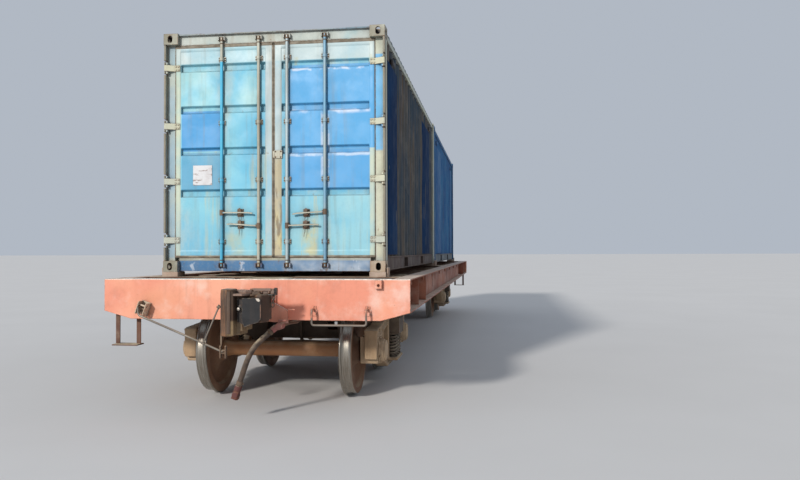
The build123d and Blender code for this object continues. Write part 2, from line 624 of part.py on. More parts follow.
def box_walls():
    out = []
    side = wave(CAST_Y, BOX_L - CAST_Y, 72, 68, 70, 34, 5)
    for sx in (1, -1):
        w = prism_z([(sx * (1189 - t), s) for s, t in side], 162, 2500)
        out.append(w)
    end = wave(-1125, 1125, 110, 18, 104, 40, 5)
    out.append(prism_z([(s, BOX_L - 30 - t) for s, t in end], 150, BOX_H - CAST_Z))
    return out


def box_roof():
    top = wave(CAST_Y, BOX_L - CAST_Y, 90, 14, 91, 14, 5)
    main = prism_x([(s, 2584 - t) for s, t in top], -RAIL_OUT, RAIL_OUT)
    under = [blk(-RAIL_OUT, -1152, CAST_Y, BOX_L - CAST_Y, 2560, 2566), blk(1152, RAIL_OUT, CAST_Y, BOX_L - CAST_Y, 2560, 2566)]
    ends = [blk(-1057, 1057, 20, CAST_Y, 2573, 2584), blk(-1057, 1057, BOX_L - CAST_Y, BOX_L - 20, 2573, 2584)]
    return fuse([main] + under + ends)


GROOVE_Z = (849.0, 1304.0, 1760.0, 2216.0)


def leaf():
    """Right-hand leaf (x > 0) with its pressed grooves and hinge blades."""
    slab = blk(LEAF_IN, LEAF_OUT, LEAF_FRONT, LEAF_BACK, LEAF_Z0, LEAF_Z1)
    for z in GROOVE_Z:
        slab = slab - prism_x([(LEAF_FRONT - 2, z - 47), (LEAF_FRONT + 34, z - 24), (LEAF_FRONT + 34, z + 24), (LEAF_FRONT - 2, z + 47)], 90, 1044)
    bits = [slab]
    for h in HINGE_Z:
        blade = prism_z([(1000, LEAF_FRONT + 0.5), (1000, 44), (1110, 44), (1196, 4), (1212, 4), (1217, 12), (1210, 20), (1118, LEAF_FRONT + 0.5)], h - 33, h + 33)
        bits.append(blade - cylz(HINGE_X, HINGE_Y, h - 40, h + 40, 5.8))
    return fuse(bits)


# handles, columns: bar index, z, turned towards (+1 outwards, -1 inwards)
HANDLES = [(1, 638, -1), (0, 494, 1)]


def locks():
    out = []
    for i, bx in enumerate(BAR_X):
        bits = [cylz(bx, 30, 62, 2530, 17)]
        for z in (70, 2522):
            bits.append(blk(bx - 19, bx + 19, 14, 47, z - 16, z + 16))
        for z in (325, 990, 1610, 2300):
            bits.append(blk(bx - 42, bx + 42, 36, LEAF_FRONT, z - 28, z + 28))
            bits.append(blk(bx - 24, bx + 24, 10, 40, z - 20, z + 20))
        for b, z, turn in HANDLES:
            if b == i:
                bits.append(blk(bx - 24, bx + 24, 8, 48, z - 34, z + 34))
                bits.append(blk(bx + turn * 20, bx + turn * 350, 8, 20, z - 17, z + 17))
                bits.append(blk(bx + turn * 175, bx + turn * 235, 20, LEAF_FRONT, z - 30, z + 30))
        out.append(fuse(bits))
    return out


frame_box, base_box, floor_box, walls_box, roof_box = box_frame(), box_base(), box_floor(), box_walls(), box_roof()
leaf_r, locks_r = leaf(), locks()
for which in ("front", "rear"):
    save(f"box_{which}_frame", put(frame_box, which))
    save(f"box_{which}_base", put(base_box, which))
    save(f"box_{which}_floor", put(floor_box, which))
    save(f"box_{which}_walls", *[put(w, which) for w in walls_box])
    save(f"box_{which}_roof", put(roof_box, which))
    # seen from outside the doors: the leaf at +x is the right one
    save(f"box_{which}_door_right", put(leaf_r, which))
    save(f"box_{which}_door_left", put(mirror_x(leaf_r), which))
    save(f"box_{which}_locks_right", *[put(w, which) for w in locks_r])
    save(f"box_{which}_locks_left", *[put(mirror_x(w), which) for w in locks_r])
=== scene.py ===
import math
import random

import bpy
import bmesh
from mathutils import Matrix, Vector, noise
from mathutils.geometry import tessellate_polygon


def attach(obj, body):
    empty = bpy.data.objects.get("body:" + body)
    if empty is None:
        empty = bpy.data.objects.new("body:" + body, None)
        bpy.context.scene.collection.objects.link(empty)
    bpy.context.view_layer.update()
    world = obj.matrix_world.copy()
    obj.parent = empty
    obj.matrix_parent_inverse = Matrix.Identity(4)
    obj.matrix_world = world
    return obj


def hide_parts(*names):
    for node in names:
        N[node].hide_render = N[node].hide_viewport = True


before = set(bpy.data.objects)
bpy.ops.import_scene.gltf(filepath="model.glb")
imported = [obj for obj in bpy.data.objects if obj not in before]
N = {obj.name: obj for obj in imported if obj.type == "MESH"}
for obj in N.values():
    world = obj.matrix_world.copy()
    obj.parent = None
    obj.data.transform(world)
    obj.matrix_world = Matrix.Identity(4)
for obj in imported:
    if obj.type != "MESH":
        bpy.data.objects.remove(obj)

random.seed(11)
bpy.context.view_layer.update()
scene = bpy.context.scene
scene.view_settings.view_transform = "Standard"
scene.view_settings.look = "None"
scene.view_settings.exposure = 0.0
scene.view_settings.gamma = 1.0

# ---------------------------------------------------------------- camera, at the height and place the photograph was taken from
YAW, PITCH, ROLL = math.radians(7.562), math.radians(0.9387), math.radians(-0.172)
cam = bpy.data.objects.new("camera", bpy.data.cameras.new("camera"))
scene.collection.objects.link(cam)
fwd = Vector((-math.sin(YAW) * math.cos(PITCH), math.cos(YAW) * math.cos(PITCH), math.sin(PITCH)))
right0 = Vector((math.cos(YAW), math.sin(YAW), 0))
up0 = right0.cross(fwd)
right = right0 * math.cos(ROLL) + up0 * math.sin(ROLL)
up = up0 * math.cos(ROLL) - right0 * math.sin(ROLL)
cam.matrix_world = Matrix(((right.x, up.x, -fwd.x, 2.3547), (right.y, up.y, -fwd.y, -13.4923), (right.z, up.z, -fwd.z, 1.5891), (0, 0, 0, 1)))
cam.data.sensor_fit = "HORIZONTAL"
cam.data.sensor_width = 36.0
cam.data.lens = 32.347
cam.data.clip_start = 0.05
cam.data.clip_end = 1500
scene.camera = cam

# ---------------------------------------------------------------- small tools: closed shapes in millimetres
IDENT = Matrix.Identity(4)
TURN = Matrix.Rotation(math.pi, 4, "Z")
MIRROR = Matrix.Scale(-1, 4, (1, 0, 0))
ENDS = (("front", IDENT), ("rear", TURN))


def box_at(which):
    m = Matrix.Translation((0, -6100, 1378))
    return m if which == "front" else TURN @ m


def sm(t, a, b):
    """Smooth step of t from a to b."""
    k = min(max((t - a) / (b - a), 0.0), 1.0)
    return k * k * (3 - 2 * k)


def across(d):
    d = Vector(d).normalized()
    u = d.orthogonal().normalized()
    return d, u, d.cross(u)


class Solid:
    def __init__(self, T=IDENT):
        self.v, self.f, self.mi, self.m, self.T = [], [], [], 0, T

    def add(self, verts, faces, mi=None):
        b = len(self.v)
        self.v += [self.T @ Vector(p) for p in verts]
        for k, f in enumerate(faces):
            self.f.append([b + i for i in f])
            self.mi.append(self.m if mi is None else mi[k])

    def loft(self, rings, caps=True, closed=False, seg_mi=None):
        n, R = len(rings[0]), len(rings)
        verts = [p for r in rings for p in r]
        faces, mi = [], []
        for i in range(R if closed else R - 1):
            a, b = i * n, ((i + 1) % R) * n
            for j in range(n):
                k = (j + 1) % n
                faces.append((a + j, a + k, b + k, b + j))
                mi.append(self.m if seg_mi is None else seg_mi[j])
        if caps and not closed:
            faces.append(tuple(reversed(range(n))))
            faces.append(tuple(range((R - 1) * n, R * n)))
            mi += [self.m, self.m]
        self.add(verts, faces, mi)

    def box(self, x0, x1, y0, y1, z0, z1):
        self.loft([[(x0, y0, z), (x1, y0, z), (x1, y1, z), (x0, y1, z)] for z in (z0, z1)])

    def obox(self, c, size, R):
        """Box of a size about a centre, turned by a 3x3 matrix."""
        h = [s / 2 for s in size]
        c = Vector(c)
        self.loft([[c + R @ Vector((sx * h[0], sy * h[1], sz * h[2])) for sx, sy in ((-1, -1), (1, -1), (1, 1), (-1, 1))] for sz in (-1, 1)])

    def bar(self, p0, p1, w, t, upv=(0, 0, 1)):
        """Flat bar from p0 to p1: w across, t along upv."""
        p0, p1 = Vector(p0), Vector(p1)
        d = (p1 - p0).normalized()
        u = Vector(upv)
        u = (u - d * u.dot(d)).normalized()
        s = d.cross(u)
        self.loft([[p + s * a * w / 2 + u * b * t / 2 for a, b in ((-1, -1), (1, -1), (1, 1), (-1, 1))] for p in (p0, p1)])

    def prism(self, pts, axis, a0, a1, holes=()):
        place = {"x": lambda p, a: (a, p[0], p[1]), "y": lambda p, a: (p[0], a, p[1]), "z": lambda p, a: (p[0], p[1], a)}[axis]
        if not holes:
            self.loft([[place(p, a) for p in pts] for a in (a0, a1)])
            return
        loops = [list(pts)] + [list(h) for h in holes]
        flat = [p for lp in loops for p in lp]
        tris = tessellate_polygon([[Vector((p[0], p[1], 0)) for p in lp] for lp in loops])
        n = len(flat)
        verts = [place(p, a0) for p in flat] + [place(p, a1) for p in flat]
        faces = [tuple(t) for t in tris] + [tuple(n + i for i in t) for t in tris]
        b = 0
        for lp in loops:
            m = len(lp)
            for j in range(m):
                k = (j + 1) % m
                faces.append((b + j, b + k, n + b + k, n + b + j))
            b += m
        self.add(verts, faces)

    def cyl(self, p0, p1, r0, r1=None, n=20):
        r1 = r0 if r1 is None else r1
        p0, p1 = Vector(p0), Vector(p1)
        d, u, w = across(p1 - p0)
        self.loft([[p + (u * math.cos(a) + w * math.sin(a)) * r for a in (2 * math.pi * k / n for k in range(n))] for p, r in ((p0, r0), (p1, r1))])

    def turn(self, prof, origin, axis, n=48):
        """Solid of revolution: prof is (along, radius) pairs with both ends capped."""
        o = Vector(origin)
        d, u, w = across(axis)
        self.loft([[o + d * a + (u * math.cos(t) + w * math.sin(t)) * r for t in (2 * math.pi * k / n for k in range(n))] for a, r in prof])

    def ring(self, prof, origin, axis, n=48, seg_mi=None):
        """Ring with a closed section of (along, radius) pairs."""
        o = Vector(origin)
        d, u, w = across(axis)
        self.loft([[o + d * a + (u * math.cos(t) + w * math.sin(t)) * r for a, r in prof] for t in (2 * math.pi * k / n for k in range(n))], closed=True, seg_mi=seg_mi)

    def tube(self, pts, r, n=10, closed=False, flat=1.0):
        pts = [Vector(p) for p in pts]
        m = len(pts)
        tang = []
        for i in range(m):
            a = pts[i - 1] if (i > 0 or closed) else pts[i]
            b = pts[(i + 1) % m] if (i < m - 1 or closed) else pts[i]
            tang.append((b - a).normalized())
        u = tang[0].orthogonal().normalized()
        rings = []
        for p, t in zip(pts, tang):
            u = (u - t * u.dot(t)).normalized()
            w = t.cross(u)
            rings.append([p + (u * math.cos(a) + w * math.sin(a) * flat) * r for a in (2 * math.pi * k / n for k in range(n))])
        self.loft(rings, closed=closed)

    def bolt(self, p, d, r, h):
        """Hexagon head on a washer."""
        p = Vector(p)
        d, u, w = across(d)
        turn_by = (p.x * 0.37 + p.z * 0.71) % 1.0
        self.loft([[p + d * a + (u * math.cos(t) + w * math.sin(t)) * q for t in (2 * math.pi * (k / 12) for k in range(12))] for a, q in ((-1, r * 1.5), (h * 0.22, r * 1.45))])
        self.loft([[p + d * a + (u * math.cos(t) + w * math.sin(t)) * q for t in (2 * math.pi * (k / 6 + turn_by) for k in range(6))] for a, q in ((h * 0.2, r), (h * 0.9, r), (h, r * 0.8))])

    def rivet(self, p, d, r):
        p = Vector(p)
        d, u, w = across(d)
        self.loft([[p + d * a + (u * math.cos(t) + w * math.sin(t)) * q for t in (2 * math.pi * k / 10 for k in range(10))] for a, q in ((-1, r), (r * 0.25, r), (r * 0.52, r * 0.72), (r * 0.62, r * 0.3))])


def arc_pts(c, r, a0, a1, n, axis="x"):
    out = []
    for k in range(n + 1):
        t = math.radians(a0 + (a1 - a0) * k / n)
        a, b = r * math.cos(t), r * math.sin(t)
        out.append({"x": (c[0], c[1] + a, c[2] + b), "y": (c[0] + a, c[1], c[2] + b), "z": (c[0] + a, c[1] + b, c[2])}[axis])
    return out


def rounded(pts, r, n=4):
    """Open line of points with each corner turned into a smooth bend."""
    pts = [Vector(p) for p in pts]
    out = [pts[0]]
    for a, b, c in zip(pts, pts[1:], pts[2:]):
        q = min(r, (b - a).length * 0.48, (c - b).length * 0.48)
        p0, p2 = b + (a - b).normalized() * q, b + (c - b).normalized() * q
        for k in range(n + 1):
            t = k / n
            out.append(p0 * (1 - t) ** 2 + b * 2 * t * (1 - t) + p2 * t * t)
    out.append(pts[-1])
    return out


def inset(poly, d):
    """Closed outline moved inwards by d (outwards for a negative d), corners mitred."""
    area = sum(a[0] * b[1] - b[0] * a[1] for a, b in zip(poly, poly[1:] + poly[:1]))
    s = 1 if area > 0 else -1
    out = []
    for p, q, r in zip(poly[-1:] + poly[:-1], poly, poly[1:] + poly[:1]):
        a, b, c = Vector(p), Vector(q), Vector(r)
        e1, e2 = (b - a).normalized(), (c - b).normalized()
        n1, n2 = Vector((-e1.y, e1.x)) * s, Vector((-e2.y, e2.x)) * s
        m = n1 + n2
        m = m / max(m.length_squared, 0.3) * 2
        out.append((b.x + m.x * d, b.y + m.y * d))
    return out


def piece(name, s, body, mats, bevel=0.0, seg=2, angle=35, sharp=38, replaces=()):
    me = bpy.data.meshes.new(name)
    me.from_pydata([(p * 0.001)[:] for p in s.v], [], s.f)
    for m in (mats if isinstance(mats, (list, tuple)) else [mats]):
        me.materials.append(m)
    me.polygons.foreach_set("material_index", s.mi)
    bm = bmesh.new()
    bm.from_mesh(me)
    bmesh.ops.recalc_face_normals(bm, faces=bm.faces)
    bm.to_mesh(me)
    bm.free()
    me.polygons.foreach_set("use_smooth", [True] * len(me.polygons))
    o = bpy.data.objects.new(name, me)
    scene.collection.objects.link(o)
    if bevel:
        soften(o, bevel, seg, angle)
    else:
        me.set_sharp_from_angle(angle=math.radians(sharp))
    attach(o, body)
    if replaces:
        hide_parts(*replaces)
    return o


def soften(o, width, seg=2, angle=35):
    m = o.modifiers.new("edges", "BEVEL")
    m.width = width * 0.001
    m.segments = seg
    m.limit_method = "ANGLE"
    m.angle_limit = math.radians(angle)
    m.harden_normals = True


def cast(name, solids, voxel, rounds, keep, T=IDENT):
    """Runs separate closed shapes together into one cast body with soft corners; gives a Solid."""
    me = bpy.data.meshes.new(name + "_raw")
    v, f = [], []
    for s in solids:
        b = len(v)
        v += [(p * 0.001)[:] for p in s.v]
        f += [[b + i for i in q] for q in s.f]
    me.from_pydata(v, [], f)
    bm = bmesh.new()
    bm.from_mesh(me)
    bmesh.ops.recalc_face_normals(bm, faces=bm.faces)
    bm.to_mesh(me)
    bm.free()
    o = bpy.data.objects.new(name + "_raw", me)
    scene.collection.objects.link(o)
    r = o.modifiers.new("r", "REMESH")
    r.mode = "VOXEL"
    r.voxel_size = voxel * 0.001
    k = o.modifiers.new("s", "SMOOTH")
    k.factor = 0.5
    k.iterations = rounds
    if keep < 1:
        d = o.modifiers.new("d", "DECIMATE")
        d.ratio = keep
    bpy.context.view_layer.update()
    out = bpy.data.meshes.new_from_object(o.evaluated_get(bpy.context.evaluated_depsgraph_get()))
    s = Solid(T)
    s.add([Vector(p.co) * 1000 for p in out.vertices], [tuple(p.vertices) for p in out.polygons])
    bpy.data.objects.remove(o)
    bpy.data.meshes.remove(me)
    bpy.data.meshes.remove(out)
    return s


# ---------------------------------------------------------------- materials
def C(r, g, b):
    """Colour as seen on a screen, to linear."""
    return tuple(((c / 255) / 12.92 if c / 255 <= 0.04045 else ((c / 255 + 0.055) / 1.055) ** 2.4) for c in (r, g, b)) + (1.0,)


class Mat:
    def __init__(self, name):
        self.m = bpy.data.materials.new(name)
        self.m.use_nodes = True
        self.nodes = self.m.node_tree.nodes
        self.links = self.m.node_tree.links
        self.b = self.nodes["Principled BSDF"]
        self.tc = self.nodes.new("ShaderNodeTexCoord").outputs["Object"]
        self.geo = self.nodes.new("ShaderNodeNewGeometry")
        self.xyz = None

    def put(self, sock, v):
        if isinstance(v, bpy.types.NodeSocket):
            self.links.new(v, sock)
        else:
            sock.default_value = v

    def mapped(self, sx, sy, sz, off=(0, 0, 0)):
        n = self.nodes.new("ShaderNodeMapping")
        self.links.new(self.tc, n.inputs["Vector"])
        n.inputs["Scale"].default_value = (sx, sy, sz)
        n.inputs["Location"].default_value = off
        return n.outputs[0]

    def noise(self, scale, detail=3.0, rough=0.55, vec=None, dist=0.0):
        n = self.nodes.new("ShaderNodeTexNoise")
        self.links.new(vec or self.tc, n.inputs["Vector"])
        n.inputs["Scale"].default_value = scale
        n.inputs["Detail"].default_value = detail
        n.inputs["Roughness"].default_value = rough
        n.inputs["Distortion"].default_value = dist
        return n.outputs["Fac"]

    def cells(self, scale, vec=None, feature="F1"):
        n = self.nodes.new("ShaderNodeTexVoronoi")
        n.feature = feature
        self.links.new(vec or self.tc, n.inputs["Vector"])
        n.inputs["Scale"].default_value = scale
        return n.outputs["Distance"]

    def rmp(self, v, a, b, c=0.0, d=1.0):
        n = self.nodes.new("ShaderNodeMapRange")
        n.interpolation_type = "SMOOTHSTEP"
        self.links.new(v, n.inputs["Value"])
        n.inputs["From Min"].default_value = a
        n.inputs["From Max"].default_value = b
        n.inputs["To Min"].default_value = c
        n.inputs["To Max"].default_value = d
        return n.outputs["Result"]

    def math(self, op, a, b=0.0, clamp=False):
        n = self.nodes.new("ShaderNodeMath")
        n.operation = op
        n.use_clamp = clamp
        self.put(n.inputs[0], a)
        self.put(n.inputs[1], b)
        return n.outputs[0]

    def mul(self, *vs):
        out = vs[0]
        for v in vs[1:]:
            out = self.math("MULTIPLY", out, v)
        return out

    def most(self, *vs):
        out = vs[0]
        for v in vs[1:]:
            out = self.math("MAXIMUM", out, v)
        return out

    def mix(self, fac, a, b, mode="MIX"):
        n = self.nodes.new("ShaderNodeMix")
        n.data_type = "RGBA"
        n.blend_type = mode
        self.put(n.inputs[0], fac)
        self.put(n.inputs[6], a)
        self.put(n.inputs[7], b)
        return n.outputs[2]

    def sep(self, v):
        n = self.nodes.new("ShaderNodeSeparateXYZ")
        self.links.new(v, n.inputs[0])
        return n.outputs

    def pos(self):
        if self.xyz is None:
            wob = self.nodes.new("ShaderNodeTexNoise")
            self.links.new(self.tc, wob.inputs["Vector"])
            wob.inputs["Scale"].default_value = 6.0
            wob.inputs["Detail"].default_value = 4.0
            sub = self.nodes.new("ShaderNodeVectorMath")
            sub.operation = "SUBTRACT"
            self.links.new(wob.outputs["Color"], sub.inputs[0])
            sub.inputs[1].default_value = (0.5, 0.5, 0.5)
            sc = self.nodes.new("ShaderNodeVectorMath")
            sc.operation = "SCALE"
            self.links.new(sub.outputs[0], sc.inputs[0])
            sc.inputs["Scale"].default_value = 0.05
            ad = self.nodes.new("ShaderNodeVectorMath")
            ad.operation = "ADD"
            self.links.new(self.tc, ad.inputs[0])
            self.links.new(sc.outputs[0], ad.inputs[1])
            self.xyz = (self.sep(self.tc), self.sep(ad.outputs[0]))
        return self.xyz

    def zone(self, x=None, y=None, z=None, soft=0.012, wobble=False):
        """1 inside a box of metres in the row frame; each side is (low, high) or None."""
        p = self.pos()[1 if wobble else 0]
        out = None
        for k, lim in enumerate((x, y, z)):
            if lim is None:
                continue
            lo, hi = lim
            for edge, sign in ((lo, 1), (hi, -1)):
                if edge is None:
                    continue
                w = min(soft, 0.003) if k == 1 else soft
                r = self.rmp(p[k], edge - w, edge + w) if sign == 1 else self.rmp(p[k], edge - w, edge + w, 1.0, 0.0)
                out = r if out is None else self.mul(out, r)
        return out

    def upward(self, lo=0.35, hi=0.85):
        return self.rmp(self.sep(self.geo.outputs["Normal"])[2], lo, hi)

    def edges(self, radius, lo=0.02, hi=0.16):
        n = self.nodes.new("ShaderNodeBevel")
        n.samples = 4
        n.inputs["Radius"].default_value = radius
        d = self.nodes.new("ShaderNodeVectorMath")
        d.operation = "DOT_PRODUCT"
        self.links.new(n.outputs[0], d.inputs[0])
        self.links.new(self.geo.outputs["Normal"], d.inputs[1])
        return self.rmp(self.math("SUBTRACT", 1.0, d.outputs["Value"]), lo, hi)

    # ambient occlusion mask: darkens recesses as painted shade as well as dirt
    def occlusion_dirt_and_shade(self, dist=0.12, lo=0.35, hi=0.95):
        n = self.nodes.new("ShaderNodeAmbientOcclusion")
        n.samples = 4
        n.inputs["Distance"].default_value = dist
        return self.rmp(n.outputs["AO"], lo, hi, 1.0, 0.0)

    def bump(self, height, strength=0.4, dist=0.003):
        n = self.nodes.new("ShaderNodeBump")
        n.inputs["Strength"].default_value = strength
        n.inputs["Distance"].default_value = dist
        self.links.new(height, n.inputs["Height"])
        return n.outputs[0]

    def done(self, col, rough, normal=None, metal=0.0):
        self.put(self.b.inputs["Base Color"], col)
        self.put(self.b.inputs["Roughness"], rough)
        self.put(self.b.inputs["Metallic"], metal)
        if normal is not None:
            self.links.new(normal, self.b.inputs["Normal"])
        return self.m


RUST = C(134, 84, 50)
RUST_DARK = C(66, 40, 28)
DUST = C(206, 190, 162)
GRIME_AND_SHADE = C(58, 46, 38)


def weathered(name, base, fade=None, grime_and_shade=GRIME_AND_SHADE, rust=0.25, edge=0.5, streak=0.3, dust=0.35, mottle=0.35, ao=0.55, rough=0.55,
              bump=0.35, dust_col=DUST, rust_col=RUST, edge_r=0.008, patches=None, streak_col=None, coarse=1.0, metal=0.0, gloss=0.5):
    m = Mat(name)
    fade = fade or tuple(min(1.0, c * 1.25 + 0.03) for c in base[:3]) + (1.0,)
    col = m.mix(m.rmp(m.noise(1.1 * coarse, 3), 0.38, 0.66), base, fade)
    dark = tuple(c * 0.62 for c in base[:3]) + (1.0,)
    col = m.mix(m.mul(m.rmp(m.noise(6.5 * coarse, 6, 0.62), 0.5, 0.74), mottle), col, dark)
    for zone, colour, amount in (patches(m) if patches else []):
        col = m.mix(m.mul(zone, amount) if amount < 1 else zone, col, colour)
    fine = m.noise(38, 4, 0.6)
    col = m.mix(m.mul(m.rmp(fine, 0.48, 0.72), mottle * 0.45), col, dark)
    if streak:
        run = m.noise(1.0, 5, 0.6, m.mapped(16, 16, 0.7))
        wide = m.noise(1.0, 2, 0.5, m.mapped(2.2, 2.2, 0.5))
        k = m.mul(m.rmp(run, 0.5, 0.7), m.rmp(wide, 0.4, 0.62), streak)
        col = m.mix(k, col, streak_col or grime_and_shade)
    # occluded nooks are darkened toward the grime colour: painted shade in the recesses, with dirt
    nook_dirt_and_shade = m.occlusion_dirt_and_shade()
    col = m.mix(m.mul(nook_dirt_and_shade, m.rmp(m.noise(12, 4), 0.25, 0.6, 0.45, 1.0), ao), col, grime_and_shade)
    spots = m.rmp(m.noise(9 * coarse, 8, 0.72), 0.745 - 0.16 * rust, 0.775 - 0.16 * rust) if rust else None
    worn = m.mul(m.edges(edge_r), m.rmp(m.noise(14, 6, 0.7), 0.62 - 0.25 * edge, 0.68 - 0.22 * edge)) if edge else None
    bare = m.most(spots, worn) if spots and worn else (spots or worn)
    if bare is not None:
        tone = m.mix(m.rmp(m.noise(26, 5), 0.35, 0.65), RUST_DARK, rust_col)
        col = m.mix(bare, col, tone)
    if dust:
        lay = m.mul(m.upward(), m.rmp(m.noise(7, 5), 0.3, 0.62, 0.35, 1.0), dust)
        col = m.mix(lay, col, dust_col)
        col = m.mix(m.mul(m.rmp(m.noise(3.2, 6, 0.65), 0.46, 0.8), dust * 0.45), col, dust_col)
    r = m.rmp(m.noise(5, 4), 0.3, 0.7, rough - 0.1, rough + 0.14)
    h = m.math("ADD", m.mul(m.noise(70, 3), 0.35), m.mul(m.noise(13, 5), 0.6))
    if bare is not None:
        h = m.math("SUBTRACT", h, m.mul(bare, 0.6))
        r = m.math("ADD", r, m.mul(bare, 0.2), clamp=True)
    m.b.inputs["Specular IOR Level"].default_value = gloss
    return m.done(col, r, m.bump(h, bump), metal)


SKY = C(92, 176, 208)
SKY_PALE = C(140, 200, 212)
FRESH = C(80, 160, 212)
BEIGE = C(184, 190, 180)
YELLOW = C(190, 194, 172)
STILE = C(160, 184, 186)


def row(which, x0, x1, z0, z1, **k):
    """Door-end zone given in box millimetres, for either box."""
    xs = (x0, x1) if which == "front" else (-x1, -x0)
    ys = (None, -6.007) if which == "front" else (6.007, None)
    return dict(x=(xs[0] * 0.001, xs[1] * 0.001), y=ys, z=(1.378 + z0 * 0.001, 1.378 + z1 * 0.001), **k)


def door_patches(m):
    w = "front"
    Z = lambda *a, **k: m.zone(**row(w, *a, **k))
    pale = C(172, 190, 186)
    out = []
    # the leaf frames: greyer than the panels, yellower beside the hinges
    for x0, x1 in ((-1110, -1046), (1046, 1110)):
        out.append((m.mul(Z(x0, x1, 150, 2480, soft=0.006), m.rmp(m.noise(2.1, 4), 0.3, 0.6, 0.55, 1.0)), C(200, 202, 172), 0.9))
    out.append((m.mul(Z(-92, 92, 150, 2480, soft=0.006), m.rmp(m.noise(2.4, 4), 0.3, 0.62, 0.5, 1.0)), C(176, 190, 192), 0.95))
    out.append((m.mul(Z(4, 92, 150, 1250, soft=0.01), m.rmp(m.noise(3.0, 4), 0.3, 0.55, 0.4, 1.0)), C(186, 168, 128), 0.85))
    out.append((m.mul(Z(4, 92, 150, 2480, soft=0.01), m.rmp(m.noise(1.0, 4, 0.6, m.mapped(5, 5, 1.6, (2, 7, 3))), 0.52, 0.62)), C(198, 186, 140), 0.7))
    out.append((m.mul(Z(4, 92, 150, 900, soft=0.02), m.rmp(m.noise(1.0, 5, 0.65, m.mapped(14, 14, 2.2)), 0.54, 0.62)), C(104, 78, 52), 0.7))
    # above the first groove
    out.append((m.mul(Z(-1110, 1110, 2264, 2480, soft=0.012), m.rmp(m.noise(1.6, 5), 0.25, 0.6, 0.45, 1.0)), C(186, 200, 200), 0.9))
    # sun-bleached cloud and ochre stains down the panels
    out.append((m.mul(m.rmp(m.noise(1.0, 5, 0.6, m.mapped(2.6, 2.6, 0.9, (3, 1, 5))), 0.5, 0.72), Z(-1110, 1110, 150, 2270)), pale, 0.75))
    out.append((m.mul(m.rmp(m.noise(1.0, 4, 0.6, m.mapped(6.0, 6.0, 0.55, (8, 2, 1))), 0.56, 0.7), Z(-1110, 1110, 150, 2300)), C(190, 184, 140), 0.55))
    out.append((m.mul(Z(150, 1050, 150, 830, soft=0.03, wobble=True), m.rmp(m.noise(2.4, 5), 0.3, 0.66, 0.25, 1.0)), C(150, 200, 208), 0.75))
    out.append((m.mul(Z(-1046, -150, 1790, 2200, soft=0.03, wobble=True), m.rmp(m.noise(2.2, 5), 0.34, 0.66)), C(164, 202, 200), 0.7))
    out.append((m.mul(Z(330, 470, 160, 560, soft=0.05, wobble=True), m.rmp(m.noise(8, 4), 0.3, 0.6)), C(196, 186, 132), 0.8))
    out.append((m.mul(Z(150, 560, 160, 830, soft=0.02), m.rmp(m.noise(1.0, 4, 0.62, m.mapped(15, 15, 0.9, (5, 1, 2))), 0.55, 0.64)), C(192, 180, 124), 0.6))
    out.append((m.mul(Z(-560, -330, 160, 420, soft=0.06, wobble=True), m.rmp(m.noise(8, 4), 0.3, 0.6)), C(176, 182, 150), 0.6))
    # rust that starts under the pressed grooves
    for gz in (849, 1304, 1760, 2216):
        out.append((m.mul(Z(-1040, 1040, gz - 40, gz - 14, soft=0.008), m.rmp(m.noise(1.0, 5, 0.66, m.mapped(13, 13, 8, (1, 4, 6))), 0.6, 0.66)), C(122, 94, 66), 0.7))
    # panels painted over in a fresher, deeper blue
    out.append((Z(166, 1110, 1310, 2216, soft=0.006), FRESH, 1.0))
    out.append((Z(166, 1046, 872, 1310, soft=0.006), C(78, 156, 210), 1.0))
    out.append((Z(-1036, -590, 1312, 1752, soft=0.006), C(62, 148, 204), 1.0))
    out.append((Z(-1036, -590, 872, 1296, soft=0.006), C(72, 146, 184), 0.75))
    # chalky rims left round the fresh paint
    for x0, x1 in ((150, 182), (522, 550), (592, 612)):
        out.append((m.mul(Z(x0, x1, 900, 1720, soft=0.014), m.rmp(m.noise(7, 4), 0.42, 0.6)), C(196, 208, 226), 0.8))
    # painted highlight: pale smears along the lower lips of three grooves stand for sun glints on the glossy lips
    out.append((m.mul(Z(200, 1046, 2152, 2182, soft=0.01, wobble=True), m.rmp(m.noise(1.0, 4, 0.6, m.mapped(5, 5, 5, (3, 3, 9))), 0.44, 0.56)), C(212, 220, 236), 0.8))
    out.append((m.mul(Z(166, 1046, 1236, 1268, soft=0.01, wobble=True), m.rmp(m.noise(1.0, 4, 0.6, m.mapped(4, 4, 4, (7, 3, 2))), 0.34, 0.5)), C(196, 212, 230), 0.8))
    out.append((m.mul(Z(166, 1046, 1690, 1730, soft=0.02, wobble=True), m.rmp(m.noise(4, 3), 0.46, 0.6)), C(214, 220, 235), 0.8))
    # the leaves' inner faces were never repainted: the object's own normal moves with the leaf
    outer = m.rmp(m.sep(m.tc.node.outputs["Normal"])[1], 0.35, 0.7, 1.0, 0.0)
    return [(m.mul(z, outer), c, k) for z, c, k in out]


M = {}
M["door_front"] = weathered("sky_blue_door_with_painted_glints", SKY, C(132, 196, 210), rust=0.22, edge=0.75, streak=0.28, dust=0.12, mottle=0.22, ao=0.7,
                            rough=0.5, bump=0.25, patches=door_patches, streak_col=C(120, 110, 84), grime_and_shade=C(40, 62, 74))


